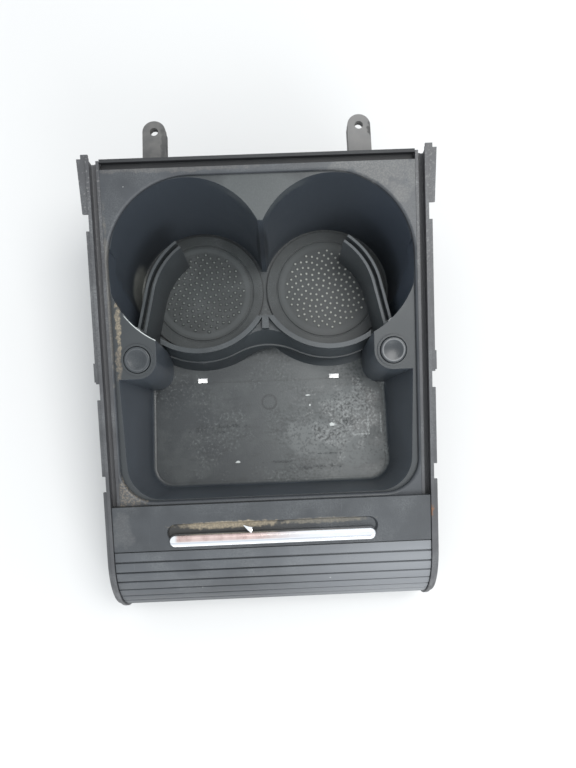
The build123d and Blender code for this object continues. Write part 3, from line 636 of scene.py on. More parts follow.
def lint(finish, amount=0.7):
    """A few loose pale specks on what faces up."""
    specks = finish.group(loose_specks, "Mask", Scale=190.0, Size=0.06, Share=0.10)
    finish.lay(product(specks, facing_up(finish.tree)), amount, LINT)


print("lint colour:", LINT)

# %% Wear and painted light of the deck, panel and slats
def deck_dust_and_reflection(finish):
    """A speckled front left corner, dust along the left side and at the rear right, and lint. The rear
    right patch is lightened further as a painted reflection.
    """
    finish.patch(on_deck(-79, -81, 0), (11, 11, 4), (0.24, 0.20, 0.15), 0.5, 0.5, 500.0, 0.85)
    finish.patch(on_deck(-84.6, 30, 0), (1.4, 66, 12), (0.16, 0.145, 0.12), 0.45, 0.5, 200.0, 0.5)
    finish.patch(on_deck(-45, 97, 0), (48, 1.7, 4), (0.17, 0.155, 0.14), 0.30, 0.5, 200.0, 0.5)
    # pale dust, lightened further as a painted reflection at the rear right
    finish.patch(on_deck(74, 96, 0), (34, 15, 8), (0.30, 0.295, 0.275), 0.24, 0.9, 90.0, 0.5)
    lint(finish)


def panel_shade_and_dust(finish):
    """A scoop darkened with painted shade and grime, beige dust along its rear rim, and lint."""
    tree = finish.tree
    u, _, w = deck_directions(tree)
    hollow = smooth(w, 2.95, 1.6)
    # painted shade: the hollow of the scoop is darkened where shade falls, partly grime
    finish.lay(product(hollow, smooth(u, 34.0, -12.0)), 0.75, (0.020, 0.018, 0.015))
    finish.patch(on_deck(-24, -100.3, 2.0), (32, 2.4, 4.0), BEIGE, 0.7, 0.3, 450.0, 0.35)
    finish.patch(on_deck(29, -100.0, 2.2), (26, 1.9, 4.0), (0.20, 0.18, 0.14), 0.65, 0.35, 450.0, 0.4)
    finish.patch(on_deck(-85, -102, 3), (7, 12, 4), (0.16, 0.16, 0.16), 0.25, 0.6, 120.0, 0.4)
    lint(finish)


def slat_sheen_and_lint(finish):
    """A painted sheen that grows to the right, and lint."""
    # painted sheen: the slats grow paler to the right, where the lights are mirrored
    finish.lay(across_x(finish, -30, 85), 0.75, (0.21, 0.22, 0.235))
    lint(finish)


print("wear: deck, panel, slats")

# %% Wear and painted light of the rails, bracket and walls
RUST = (0.19, 0.085, 0.035)


def rail_light_and_wear(finish):
    """Painted light in the groove, pale scuffs atop the rear half and a rusty spot near the front."""
    tree = finish.tree
    _, v, w = deck_directions(tree)
    scuff = smooth(noise(object_place(tree), 700.0, 6.0), 0.54, 0.70)
    groove = product(smooth(w, -1.0, -3.0), smooth(w, -7.0, -5.5))
    # painted light: the shaded floor of the groove is made lighter
    finish.lay(groove, 0.8, (0.11, 0.11, 0.115))
    top_edge = product(smooth(v, 0.0, 60.0), smooth(w, -9.0, -2.0))
    finish.lay(product(scuff, top_edge), 0.35, (0.27, 0.27, 0.265), 0.2)
    finish.patch(on_deck(89, -96, 3.0), (2.4, 4.5, 4), RUST, 0.85, 0.5, 500.0, 0.3)


def bracket_wear(finish):
    """Grey worn lugs behind a dark cross piece."""
    tree = finish.tree
    _, y, z = object_axes(tree)
    behind = smooth(y, lug_bore.y - 18 * MM, lug_bore.y - 15 * MM)
    lugs = product(behind, smooth(z, lug_bore.z - 7 * MM, lug_bore.z - 4 * MM))
    blotch = finish.group(mould_grain, "Tone", Blotch_Scale=180.0)
    finish.lay(lugs, 1.0, finish.mix(blotch, (0.082, 0.082, 0.082), (0.12, 0.117, 0.113)), 0.2)
    finish.lay(product(lugs, across_x(finish, -20, 50)), 0.5, (0.24, 0.235, 0.23))
    right_edge = Vector((0.0645, lug_bore.y - 4 * MM, lug_bore.z))
    left_edge = Vector((-0.0520, lug_bore.y - 6 * MM, lug_bore.z))
    finish.patch(right_edge, (2.4, 6, 6), (0.03, 0.03, 0.03), 0.7, 0.6)
    finish.patch(left_edge, (1.6, 9, 6), (0.04, 0.04, 0.04), 0.5, 0.6)


def low_shade_and_grime(finish):
    """A wall's foot darker with painted shade and grime, its right side paler with painted light."""
    foot = smooth(object_axes(finish.tree)["Z"], floor_z + 24 * MM, floor_z + 4 * MM)
    # painted light: the right side is paler, as if lit from the right
    finish.lay(across_x(finish, 10, 60), 0.55, (0.080, 0.090, 0.098))
    # painted shade and grime: the foot of the wall is darker
    finish.lay(foot, 0.4, (0.02, 0.023, 0.026))


print("wear: rails, bracket, walls")

# %% Finishes with their own wear and painted light
divider_moulding = satin_plastic("divider_moulding", (0.032, 0.038, 0.042), 0.40, wear_and_light=low_shade_and_grime)
arm_moulding = satin_plastic("arm_moulding", (0.038, 0.044, 0.048), 0.42, wear_and_light=low_shade_and_grime)
deck_skin = satin_plastic("deck_skin", (0.040, 0.044, 0.050), 0.40, wear_and_light=deck_dust_and_reflection)
rail_plastic = satin_plastic("rail_plastic", (0.055, 0.056, 0.060), 0.45, 0.3, 0.3, wear_and_light=rail_light_and_wear)
panel_plastic = satin_plastic("panel_plastic", (0.039, 0.043, 0.048), 0.42, wear_and_light=panel_shade_and_dust)
slat_plastic = satin_plastic("slat_plastic", (0.062, 0.067, 0.074), 0.44, 0.2, 0.2, wear_and_light=slat_sheen_and_lint)
bracket_plastic = satin_plastic("bracket_plastic", (0.016, 0.017, 0.019), 0.6, dust=0.05, wear_and_light=bracket_wear)
print("plastics:", len([m for m in bpy.data.materials if m.name.endswith(("plastic", "moulding", "skin"))]))

# %% [markdown]
# ## Rubber mats and button caps
# The mats are rubber, so they are rougher than the plastic and hold more dust. Grime lies round each rim,
# painted shade round the foot of every dot, and painted light makes the right mat and its dots paler. The
# button caps are smoother than their surroundings, and a painted highlight rings the edge of each dish. The
# ring group draws both kinds of ring, round an upright axis and round one that is square to the deck.

# %% Mat and button finishes
# grime on the mats' rims, and painted shade at the foot of the dots
GRIME_AND_SHADE = (0.012, 0.013, 0.014)
MAT_RADIUS = 39.2
SLOPE_RADIUS = 28.8
BUTTON_U = 71.7
BUTTON_V = -5.54
mat_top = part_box("right_cup_mat")[1][2]


def mat_grime_and_light(finish):
    """Grime round the rim of each mat, a paler slope inside its groove, and painted light on the right mat."""
    for _, sign in SIDES:
        middle = on_floor(sign * CUP_X, CUP_BACK)
        finish.lay(finish.ring(middle, UPRIGHT, MAT_RADIUS, 0.9), 0.8, GRIME_AND_SHADE)
        finish.lay(finish.ring(middle, UPRIGHT, SLOPE_RADIUS, 2.2), 0.4, (0.085, 0.095, 0.097))
    # painted light: the right mat is paler, as if lit from the right
    finish.lay(across_x(finish, -10, 50), 0.6, (0.062, 0.067, 0.068))


def dot_light_and_shade(finish):
    """Dots painted paler on the right mat as if lit, with painted shade round the foot of each dot."""
    z = object_axes(finish.tree)["Z"]
    # painted light: the dots on the right mat are paler, as if lit
    finish.lay(across_x(finish, -30, 50), 0.85, (0.43, 0.44, 0.41))
    # painted shade: the foot of each dot is darker, where the dot shades the mat
    finish.lay(smooth(z, mat_top + 0.42 * MM, mat_top + 0.34 * MM), 0.8, GRIME_AND_SHADE)


def button_highlight(finish):
    """A painted highlight ring on the edge of each dish, brighter on the right button."""
    for _, sign in SIDES:
        # painted highlight: a pale ring on the rim of each dish
        rim = finish.ring(on_deck(sign * BUTTON_U, BUTTON_V, 0), square, 6.0, 0.45)
        finish.lay(rim, 0.22 + 0.12 * sign, (0.30, 0.31, 0.32))


mat_rubber = satin_plastic("mat_rubber", (0.032, 0.037, 0.038), 0.50, dust=0.2, grain=900.0, wear_and_light=mat_grime_and_light)
dot_rubber = satin_plastic("dot_rubber", (0.120, 0.136, 0.128), 0.34, dust=0.2, grain=900.0, wear_and_light=dot_light_and_shade)
button_plastic = satin_plastic("button_plastic", (0.022, 0.026, 0.030), 0.28, dust=0.1, wear_and_light=button_highlight)
print("rubber and buttons:", mat_rubber.name, dot_rubber.name, button_plastic.name)

# %% [markdown]
# ## Bright plating and steel
# The pull bar is plated plastic. Its plating is mirror-bright in front and at the ends, and the upper face is
# rubbed to a warm coppery tone over its left two thirds. A mask along the bar, made from the deck's own
# directions, keeps that tone on the upper face. Pins, springs and screws are plain drawn steel.

# %% Plated bar and steel
PULL_V = -108.2


def plated_trim():
    """Bright plating with a rubbed upper face and a painted blue-grey reflection where the two faces meet."""
    finish = Finish("bright_plating")
    tree = finish.tree
    u, v, _ = deck_directions(tree)
    upper = smooth(v, PULL_V - 0.6, PULL_V + 0.5)
    span = product(smooth(u, 26.0, -14.0), smooth(u, -55.5, -53.0))
    blotch = finish.group(mould_grain, "Tone", Scale=500.0, Blotch_Scale=160.0)
    rubbed = product(upper, span, smooth(v, PULL_V + 3.5, PULL_V + 3.2))
    copper = finish.mix(blotch, (0.50, 0.37, 0.345), (0.66, 0.52, 0.49))
    finish.colour = finish.mix(rubbed, (0.90, 0.91, 0.93), copper)
    above = smooth(v, PULL_V - 1.3, PULL_V - 0.8)
    line = product(above, smooth(v, PULL_V - 0.2, PULL_V - 0.6))
    hair = finish.group(fine_scratches, "Mask", Scale=90.0, Amount=0.5)
    finish.rough = finish.level(blotch, 0.10, 0.18)
    # painted reflection: a blue-grey line along the edge between the two faces
    finish.lay(line, 0.4, (0.30, 0.35, 0.48))
    finish.rough = math("ADD", finish.rough, product(math("MAXIMUM", hair, rubbed), 0.15))
    finish.shader.inputs["Metallic"].default_value = 1.0
    finish.feed(finish.group(mould_grain, "Height", Scale=700.0), 0.01)
    return finish.material


def drawn_steel():
    """Plain steel with dull blotches."""
    finish = Finish("drawn_steel")
    blotch = finish.group(mould_grain, "Tone", Scale=900.0, Blotch_Scale=260.0)
    finish.colour = finish.mix(blotch, (0.42, 0.42, 0.42), (0.58, 0.58, 0.57))
    finish.rough = finish.level(blotch, 0.26, 0.42)
    finish.shader.inputs["Metallic"].default_value = 1.0
    finish.feed(finish.group(mould_grain, "Height", Scale=1600.0), 0.01)
    return finish.material


bright_plating = plated_trim()
steel = drawn_steel()
print("metals:", bright_plating.name, steel.name)

# %% [markdown]
# ## Rounded mouldings
# No moulded edge is truly sharp: a small radius catches the light and draws the bright lines along every rim
# in the photograph. The CAD solids keep crisp edges there, so a merged copy of each one gets its sharp edges
# beveled and then stands in for the node. The bevel runs in steps, so that a rim can be rounder than the
# rest, and normals weighed by face size keep the large flats flat beside it.

# %% Mesh helpers
def add_piece(name, mesh, material, body, replaced=None):
    """Put a finished mesh into the scene with its finish, its body and its material slot."""
    mesh.materials.clear()
    mesh.materials.append(material)
    piece = bpy.data.objects.new(name, mesh)
    scene.collection.objects.link(piece)
    if body:
        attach(piece, body)
    if replaced:
        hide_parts(replaced)
    return piece


def from_work(name, work, sharp_angle=40):
    """A smooth-shaded mesh from a bmesh, with edges above an angle kept sharp."""
    mesh = bpy.data.meshes.new(name)
    work.to_mesh(mesh)
    work.free()
    mesh.polygons.foreach_set("use_smooth", [True] * len(mesh.polygons))
    mesh.set_sharp_from_angle(angle=radians(sharp_angle))
    return mesh


def evaluated(holder):
    """The mesh that an object's modifiers make; the object only holds it and goes again."""
    scene.collection.objects.link(holder)
    bpy.context.view_layer.update()
    seen = bpy.context.evaluated_depsgraph_get()
    keep = {"preserve_all_data_layers": True, "depsgraph": seen}
    result = bpy.data.meshes.new_from_object(holder.evaluated_get(seen), **keep)
    bpy.data.objects.remove(holder)
    return result


def evened(mesh):
    """Let large faces rule the shading, so that a narrow bevel leaves the flat beside it flat."""
    holder = bpy.data.objects.new("evened", mesh)
    holder.modifiers.new("weigh", "WEIGHTED_NORMAL").keep_sharp = True
    return evaluated(holder)


print("mesh helpers: add_piece, from_work, evaluated, evened")

# %% Rounding
MERGE_REACH = 1e-6
FLAT_WITHIN = 0.2  # angles in degrees
SHARP_FROM = 32
SMOOTH_TO = 38


def rounded(source, steps):
    """A merged copy of a CAD node's mesh; steps are (radius in mm, segments, chooser of edges)."""
    old = frame["nodes"][source].data
    copy = bpy.data.meshes.new(f"{source}_copy")
    copy.from_pydata([v.co for v in old.vertices], [], [tuple(p.vertices) for p in old.polygons])
    work = bmesh.new()
    work.from_mesh(copy)
    bmesh.ops.remove_doubles(work, verts=work.verts, dist=MERGE_REACH)
    bmesh.ops.dissolve_limit(work, angle_limit=radians(FLAT_WITHIN), verts=work.verts, edges=work.edges)
    for radius, segments, chosen in steps:
        paired = [e for e in work.edges if len(e.link_faces) == 2]
        edges = [e for e in paired if e.calc_face_angle() > radians(SHARP_FROM) and chosen(e)]
        shape = {"offset": radius * MM, "offset_type": "OFFSET", "segments": segments, "profile": 0.5}
        bmesh.ops.bevel(work, geom=edges, affect="EDGES", clamp_overlap=True, **shape)
    bpy.data.meshes.remove(copy)
    return evened(from_work(f"{source}_rounded", work, SMOOTH_TO))


print("rounded edges turn by more than", SHARP_FROM, "degrees")

# %% Choosers of edges
LEVEL_WITHIN = 0.05  # in mm
CUSP_HALF = 8.0


def rim_at(height):
    """Chooser of edges that lie level at a height."""
    return lambda edge: all(abs(v.co.z - height) < LEVEL_WITHIN * MM for v in edge.verts)


def over_deck(place):
    """The height of a place over the deck, in mm."""
    return (place - deck_middle).dot(square) / MM


def rim_over_deck(height):
    """Chooser of edges that lie along the deck at a height over it."""
    return lambda edge: all(abs(over_deck(v.co) - height) < LEVEL_WITHIN for v in edge.verts)


def away_from_cusp(chooser):
    """Chooser that leaves out the pointed middle of the divider."""
    return lambda edge: chooser(edge) and all(abs(v.co.x) > CUSP_HALF * MM for v in edge.verts)


def any_edge(edge):
    """Chooser of every sharp edge."""
    return True


print("choosers: rim_at, rim_over_deck, away_from_cusp, any_edge")

# %% Bin, divider, bracket and panel
divider_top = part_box("cup_divider")[1][2]
SMALL_EDGE = (0.3, 2, any_edge)  # radius in mm, segments and chooser
divider_rims = [(1.2, 4, away_from_cusp(rim_at(divider_top))), (0.3, 2, away_from_cusp(any_edge))]
housing_skins = {
    "storage_bin": (charcoal_moulding, [(0.7, 3, rim_over_deck(PLATE_TOP))]),
    "cup_divider": (divider_moulding, divider_rims),
    "rear_bracket": (bracket_plastic, [SMALL_EDGE]),
}
for source, (finish, rims) in housing_skins.items():
    add_piece(f"{source}_skin", rounded(source, rims), finish, "housing", source)
panel_mesh = rounded("shutter_panel", [SMALL_EDGE])
add_piece("shutter_panel_skin", panel_mesh, panel_plastic, "shutter", "shutter_panel")

# %% [markdown]
# ## Rails, arms and mats
# These come in pairs. The rails get only a small radius, because their lips are thin, while the arms have two
# ridges on top that are worn round. The mats are cut from sheet, so their edge is nearly square.

# %% Pieces in pairs
RAIL_EDGE = (0.2, 2, any_edge)
ARM_EDGE = (0.5, 3, any_edge)
for side, _ in SIDES:
    rail_mesh = rounded(f"{side}_side_rail", [RAIL_EDGE])
    add_piece(f"{side}_rail_skin", rail_mesh, rail_plastic, "housing", f"{side}_side_rail")
    arm_mesh = rounded(f"{side}_arm", [ARM_EDGE])
    add_piece(f"{side}_arm_skin", arm_mesh, arm_moulding, f"{side}_arm", f"{side}_arm")
    mat_mesh = rounded(f"{side}_cup_mat", [SMALL_EDGE])
    add_piece(f"{side}_mat_skin", mat_mesh, mat_rubber, "housing", f"{side}_cup_mat")

# %% [markdown]
# ## Dots on the mats
# A mat is covered with low dots that keep a wet cup from sticking. They are the same shape over and over, so
# Geometry Nodes places them: each point's index gives its radius and its turn, and the golden angle between
# one dot and the next spreads them evenly, as seeds lie in a sunflower.

# %% Shapes from a node tree
def grown(name, tree, values, start=None):
    """Run a Geometry Nodes tree once and keep what it makes as a plain mesh."""
    maker = bpy.data.objects.new(name, start or bpy.data.meshes.new(name))
    modifier = maker.modifiers.new("grow", "NODES")
    modifier.node_group = tree
    for item in tree.interface.items_tree:
        if item.name in values:
            modifier[item.identifier] = values[item.name]
    return evaluated(maker)


def close_shapes(tree, geometry, finish):
    """End a tree of shapes: real geometry, smooth shading and its finish."""
    real = node(tree, "GeometryNodeRealizeInstances", {"Geometry": geometry})
    shaded = node(tree, "GeometryNodeSetShadeSmooth", {"Geometry": real})
    coated = node(tree, "GeometryNodeSetMaterial", {"Geometry": shaded, "Material": finish})
    return close_group(tree, GEOMETRY, Geometry=coated.outputs[0])


print("shape helpers: grown, close_shapes")

# %% Dot tree
GOLDEN_TURN = 2.39996


def dot_tree():
    """Low domes spread evenly over a round field."""
    tree, given = open_group(
        "mat_dots",
        "GeometryNodeTree",
        Dots=150,
        Spacing=0.00217,
        Dot_Size=(0.00112, 0.00112, 0.0005),
        Centre=ORIGIN,
        Finish=MATERIAL,
    )
    index = node(tree, "GeometryNodeInputIndex").outputs[0]
    radius = product(math("SQRT", math("ADD", index, 0.5)), given["Spacing"])
    turn = product(index, GOLDEN_TURN)
    x = product(radius, math("COSINE", turn))
    y = product(radius, math("SINE", turn))
    spread = node(tree, "ShaderNodeCombineXYZ", {"X": x, "Y": y})
    place = vector_math("ADD", spread, given["Centre"])
    points = node(tree, "GeometryNodePoints", {"Count": given["Dots"], "Position": place})
    dome = node(tree, "GeometryNodeMeshUVSphere", {"Segments": 8, "Rings": 5, "Radius": 1.0})
    low = {"Geometry": dome, "Scale": given["Dot Size"]}
    low_dome = node(tree, "GeometryNodeTransform", low)
    spots = {"Points": points, "Instance": low_dome}
    dots = node(tree, "GeometryNodeInstanceOnPoints", spots)
    return close_shapes(tree, dots, given["Finish"])


mat_dots = dot_tree()
print("dot tree:", len(mat_dots.nodes), "nodes")

# %% Dots on both mats
for side, sign in SIDES:
    middle = on_floor(sign * CUP_X, CUP_BACK)
    middle.z = mat_top
    dot_mesh = grown(f"{side}_mat_dots", mat_dots, {"Centre": middle, "Finish": dot_rubber})
    add_piece(f"{side}_mat_dots", dot_mesh, dot_rubber, "housing")
    print(side, "mat dots:", len(dot_mesh.polygons), "faces")

# %% [markdown]
# ## Slats of the shutter
# The shutter is a row of slats on a thin web that bends round the front. One slat is swept along its length
# from a rounded profile, and Geometry Nodes sets copies along the track at one pitch. A fixed seed tilts each
# slat by a fraction of a degree, as real ones lie. The web under them is one long strip of the same plastic.

# %% Shutter track
ROLL_START_V = -118.6
ROLL = ((36.0, radians(75.0)), (14.0, radians(105.0) - slope))  # radius in mm and turn of the two bends
TAIL_BACK = -14.0
SLAT_PITCH = 6.0
SLAT_MIDDLE = 1.4  # height of the slats' middle over the track, in mm
FIRST_SLAT = -1.7  # from the roll's start to the first slat's middle, in mm


def track_place(length, height):
    """A place over the track, length in mm ahead of the roll's start, and the heading there."""
    heading = slope
    place = on_deck(0, ROLL_START_V - min(length, 0.0), 0)
    rest = max(length, 0.0)
    for radius, turn in ROLL:
        angle = min(rest / radius, turn)
        place.y -= radius * MM * (sin(heading + angle) - sin(heading))
        place.z -= radius * MM * (cos(heading) - cos(heading + angle))
        heading += angle
        rest -= angle * radius
    place.y += rest * MM
    return place + Vector((0, -sin(heading), cos(heading))) * height * MM


bend_length = sum(radius * turn for radius, turn in ROLL)
tail_length = (deck_middle.y + TAIL_BACK * MM - track_place(bend_length, 0).y) / MM
track_length = bend_length + tail_length
print("track:", round(bend_length, 1), "mm of bends and", round(tail_length, 1), "mm of tail")

# %% Slat tree
def slat_tree():
    """Rounded slats at one pitch along a path."""
    tree, given = open_group(
        "shutter_slats",
        "GeometryNodeTree",
        Geometry=GEOMETRY,
        Pitch=0.006,
        Half_Length=0.09,
        Thickness=0.002,
        Width=0.005,
        Edge_Radius=0.0004,
        Tilt=0.01,
        Seed=1,
        Finish=MATERIAL,
    )
    path = node(tree, "GeometryNodeMeshToCurve", {"Mesh": given["Geometry"]})
    stations = {"Curve": path, "Length": given["Pitch"]}
    points = node(tree, "GeometryNodeCurveToPoints", stations, mode="LENGTH")
    outline = {"Width": given["Thickness"], "Height": given["Width"]}
    profile = node(tree, "GeometryNodeCurvePrimitiveQuadrilateral", outline)
    corners = {"Curve": profile, "Radius": given["Edge Radius"], "Count": 3}
    soft_profile = node(tree, "GeometryNodeFilletCurve", corners, mode="POLY")
    left_end = node(tree, "ShaderNodeCombineXYZ", {"X": product(given["Half Length"], -1.0)})
    right_end = node(tree, "ShaderNodeCombineXYZ", {"X": given["Half Length"]})
    ends = {"Start": left_end, "End": right_end}
    line = node(tree, "GeometryNodeCurvePrimitiveLine", ends)
    sweep = {"Curve": line, "Profile Curve": soft_profile, "Fill Caps": True}
    slat = node(tree, "GeometryNodeCurveToMesh", sweep)
    spots = {"Points": points.outputs["Points"], "Rotation": points.outputs["Rotation"]}
    row = node(tree, "GeometryNodeInstanceOnPoints", {**spots, "Instance": slat})
    draw = node(tree, "FunctionNodeRandomValue", {"Seed": given["Seed"]}, data_type="FLOAT")
    tree.links.new(product(given["Tilt"], -1.0), draw.inputs[2])
    tree.links.new(given["Tilt"], draw.inputs[3])
    lean = node(tree, "ShaderNodeCombineXYZ", {"X": draw.outputs[1]})
    turned_row = {"Instances": row, "Rotation": lean}
    tilted = node(tree, "GeometryNodeRotateInstances", turned_row)
    return close_shapes(tree, tilted, given["Finish"])


shutter_slats = slat_tree()
print("slat tree:", len(shutter_slats.nodes), "nodes")

# %% Slats on the track
SLAT_HALF = 89.7
SLAT_TILT = 0.4  # angles in degrees
SLAT_SHARP = 50
SLAT_SEED = 7
TRACK_STEP = 1.0
steps = int((track_length - FIRST_SLAT) / TRACK_STEP)
stations = [track_place(FIRST_SLAT + TRACK_STEP * s, SLAT_MIDDLE) for s in range(steps)]
path_mesh = bpy.data.meshes.new("slat_path")
path_mesh.from_pydata(stations, [(s, s + 1) for s in range(steps - 1)], [])
slat_sizes = {"Pitch": SLAT_PITCH, "Half Length": SLAT_HALF}
slat_sizes.update({"Thickness": 2.2, "Width": 5.35, "Edge Radius": 0.4})
slat_values = {name: size * MM for name, size in slat_sizes.items()}
slat_values.update({"Tilt": radians(SLAT_TILT), "Seed": SLAT_SEED, "Finish": slat_plastic})
slat_mesh = grown("shutter_slats", shutter_slats, slat_values, path_mesh)
slat_mesh.set_sharp_from_angle(angle=radians(SLAT_SHARP))
add_piece("shutter_slats", slat_mesh, slat_plastic, "housing", "shutter_curtain")
print("slats:", len(slat_mesh.polygons), "faces on a path of", steps, "stations")

# %% [markdown]
# ## Web and closing strip
# The web is a thin band along the same track. The shutter's joint slides the stiff panel, and on the real
# object the curtain is drawn after it. Here a ribbed strip lies folded up inside the panel, its front edge on
# the housing, and every rib is placed so that the ribs stand at their true pitch when the shutter is closed.
# The strip is not attached to the panel.

# %% Bands of cross sections
def band(sections):
    """A closed band through cross sections of (left low, left high, right high, right low)."""
    work = bmesh.new()
    rows = [[work.verts.new(p) for p in section] for section in sections]
    for row, after in zip(rows, rows[1:]):
        for k in range(4):
            work.faces.new((row[k], row[(k + 1) % 4], after[(k + 1) % 4], after[k]))
    work.faces.new(rows[0])
    work.faces.new(rows[-1])
    bmesh.ops.recalc_face_normals(work, faces=work.faces)
    return work


def across(low, high, half):
    """One cross section between two places on the middle line."""
    reach = Vector((half * MM, 0, 0))
    return (low - reach, high - reach, high + reach, low + reach)


print("band helpers: band, across")

# %% Web
WEB_LOW = 0.35
WEB_HIGH = 1.2
WEB_HALF = 90.2
WEB_STEP = 1.5
web_start = FIRST_SLAT - 2.5
web_steps = int((track_length - FIRST_SLAT + 2.0) / WEB_STEP)
web_lengths = [web_start + WEB_STEP * s for s in range(web_steps)]
web_sections = [across(track_place(s, WEB_LOW), track_place(s, WEB_HIGH), WEB_HALF) for s in web_lengths]
web_mesh = from_work("shutter_web", band(web_sections))
add_piece("shutter_web", web_mesh, slat_plastic, "housing")
print("web:", len(web_sections), "sections")

# %% Closing strip
STRIP_FRONT_V = -113.4
STRIP_FOLD = 4.2  # length of the folded strip inside the panel, in mm
SLIDE = slide["range_m"][1] / MM
STRIP_LOW = 0.5
GROOVE_TOP = 1.0
RIB_TOP = 2.0
RIB_PROFILE = ((0.0, GROOVE_TOP), (0.85, GROOVE_TOP), (0.95, RIB_TOP), (5.95, RIB_TOP))
HALVINGS = 50


def folded_place(drawn):
    """Where a point that lies so far along the closed strip is folded away, as a share of the fold."""
    low, high = 0.0, 1.0
    for _ in range(HALVINGS):
        share = (low + high) / 2
        if STRIP_FOLD * share + SLIDE * share * share * (3 - 2 * share) < drawn:
            low = share
        else:
            high = share
    return low


strip_length = STRIP_FOLD + SLIDE
strip_sections = []
for rib in range(int(strip_length / SLAT_PITCH)):
    for offset, top in RIB_PROFILE:
        v = STRIP_FRONT_V + STRIP_FOLD * folded_place(rib * SLAT_PITCH + offset)
        strip_sections.append(across(on_deck(0, v, STRIP_LOW), on_deck(0, v, top), SLAT_HALF))
strip_mesh = from_work("closing_strip", band(strip_sections))
closing_strip = add_piece("closing_strip", strip_mesh, slat_plastic, None)
# the strip's middle lies 1.2 mm over the deck
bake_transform(closing_strip)
print("closing strip:", len(strip_sections), "sections, drawn to", round(strip_length, 1), "mm")

# %% [markdown]
# ## Buttons
# Each button is a turned shape: a cap with a rounded rim and a shallow dish for the finger, a skirt that runs
# in the guide and a stem. A profile swept round the button's axis gives all of that from a handful of points.

# %% Turning a profile
BUTTON_TURNS = 72


def turned(name, centre, profile):
    """Sweep a profile of (radius, height) in mm round an axis square to the deck."""
    work = bmesh.new()
    rings = []
    for radius, height in profile:
        ring = []
        for step in range(BUTTON_TURNS if radius > 0 else 1):
            angle = 2 * pi * step / BUTTON_TURNS
            offset = Vector((cos(angle), 0, 0)) + along * sin(angle)
            ring.append(work.verts.new(centre + offset * radius * MM + square * height * MM))
        rings.append(ring)
    for low, high in zip(rings, rings[1:]):
        for step in range(BUTTON_TURNS):
            after = (step + 1) % BUTTON_TURNS
            quad = [low[step % len(low)], low[after % len(low)]]
            quad += [high[after % len(high)], high[step % len(high)]]
            work.faces.new(list(dict.fromkeys(quad)))
    bmesh.ops.recalc_face_normals(work, faces=work.faces)
    return from_work(name, work)


def arc(centre, radius, start, end, steps):
    """Points of an arc in a profile, angles in degrees."""
    turns = [radians(start + (end - start) * step / steps) for step in range(steps + 1)]
    return [(centre[0] + radius * cos(a), centre[1] + radius * sin(a)) for a in turns]


print("turned shapes have", BUTTON_TURNS, "steps")

# %% Button caps
CAP_TOP = -0.8  # heights over the deck, in mm
CAP_RADIUS = 7.4
RIM_RADIUS = 0.8
SKIRT_LOW = -5.8
SKIRT_WALL = 1.6
CAVITY_TOP = -2.4
STEM_RADIUS = 3.0
STEM_LOW = -13.9
DISH_RADIUS = 5.6
DISH_DEPTH = 0.75
DISH_STEPS = 8
shares = [step / DISH_STEPS for step in range(DISH_STEPS + 1)]
dish = [(DISH_RADIUS * s, CAP_TOP - DISH_DEPTH * (1 - s**2)) for s in shares]
rim = arc((CAP_RADIUS - RIM_RADIUS, CAP_TOP - RIM_RADIUS), RIM_RADIUS, 90, 0, 6)
inside = [
    (CAP_RADIUS, SKIRT_LOW),
    (CAP_RADIUS - SKIRT_WALL, SKIRT_LOW),
    (CAP_RADIUS - SKIRT_WALL, CAVITY_TOP),
    (STEM_RADIUS, CAVITY_TOP),
    (STEM_RADIUS, STEM_LOW),
    (0.0, STEM_LOW),
]
for side, sign in SIDES:
    cap_mesh = turned(f"{side}_button_cap", on_deck(sign * BUTTON_U, BUTTON_V, 0), dish + rim + inside)
    body = f"{side}_button"
    add_piece(f"{side}_button_cap", cap_mesh, button_plastic, body, f"{side}_button")
    print(side, "button:", len(cap_mesh.polygons), "faces")

# %% [markdown]
# ## Springs under the buttons
# Each button stands on a small coil spring that shortens as the button goes down. The coil's exact shape
# comes from CAD, and a merged copy of it stands in for the CAD node at its full length.

# %% Spring copies
for side, sign in SIDES:
    coil_mesh = rounded(f"{side}_button_spring", [])
    heights = [over_deck(v.co) for v in coil_mesh.vertices]
    coil = add_piece(f"{side}_button_coil", coil_mesh, steel, None, f"{side}_button_spring")
    top = on_deck(sign * BUTTON_U, BUTTON_V, max(heights))
    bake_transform(coil)
    print(side, "spring from", round(min(heights), 2), "to", round(max(heights), 2), "mm")

# %% [markdown]
# ## A peeled flake of plating
# Behind the middle of the pull bar a flake of plating has lifted and lies across the scoop. It is a thin
# curled triangle whose narrow end is still on the bar, so it moves with the shutter.

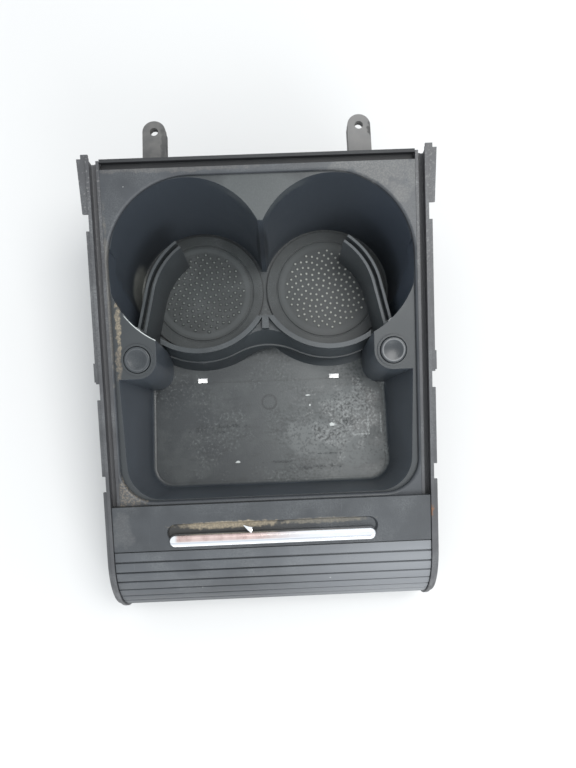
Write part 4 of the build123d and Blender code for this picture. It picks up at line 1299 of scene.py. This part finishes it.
# %% Peeled flake
FLAKE_STEPS = 6
FLAKE_SPANS = 4
FLAKE_THICK = 0.12
FLAKE_CURL = 0.35
FLAKE_BOW = 0.25
FLAKE_SHARP = 60  # in degrees
flake_base = (Vector((-16.6, -100.6, 3.05)), Vector((-11.4, -101.9, 3.3)))  # u, v and w in mm
flake_tip = (Vector((-12.4, -104.9, 4.4)), Vector((-11.7, -104.9, 4.4)))
work = bmesh.new()
layers = []
for lift in (0.0, FLAKE_THICK):
    rows = []
    for step in range(FLAKE_STEPS + 1):
        share = step / FLAKE_STEPS
        left, right = (base.lerp(tip, share) for base, tip in zip(flake_base, flake_tip))
        curl = FLAKE_CURL * sin(pi * share) + lift
        row = []
        for k in range(FLAKE_SPANS + 1):
            u, v, w = left.lerp(right, k / FLAKE_SPANS)
            bow = FLAKE_BOW * sin(pi * k / FLAKE_SPANS)
            row.append(work.verts.new(on_deck(u, v, w + curl + bow)))
        rows.append(row)
    layers.append(rows)
for rows in layers:
    for row, after in zip(rows, rows[1:]):
        for k in range(FLAKE_SPANS):
            work.faces.new((row[k], row[k + 1], after[k + 1], after[k]))
low, high = layers
border = [(r, 0) for r in range(FLAKE_STEPS)] + [(FLAKE_STEPS, k) for k in range(FLAKE_SPANS)]
border += [(r, FLAKE_SPANS) for r in range(FLAKE_STEPS, 0, -1)] + [(0, k) for k in range(FLAKE_SPANS, 0, -1)]
for (r, k), (r2, k2) in zip(border, border[1:] + border[:1]):
    work.faces.new((low[r][k], low[r2][k2], high[r2][k2], high[r][k]))
bmesh.ops.recalc_face_normals(work, faces=work.faces)
flake_mesh = from_work("plating_flake", work, FLAKE_SHARP)
add_piece("plating_flake", flake_mesh, bright_plating, "shutter")
print("flake on the bar's rear edge")

# %% [markdown]
# ## Finishes on the CAD nodes that stay
# The deck frame, the pull bar, the arms' pins and springs and the screws already have their full shape from
# CAD. They keep it and only get a finish.

# %% Finishes on CAD nodes
finish_of = {"deck_frame": deck_skin, "pull_bar": bright_plating, "rail_screws": steel}
for piece in ("arm_pin", "arm_spring"):
    for side, _ in SIDES:
        finish_of[f"{side}_{piece}"] = steel
for name, material in finish_of.items():
    slots = frame["nodes"][name].material_slots
    for index in range(len(slots)):
        slots[index].material = material
print("CAD nodes with a finish:", sorted(finish_of))
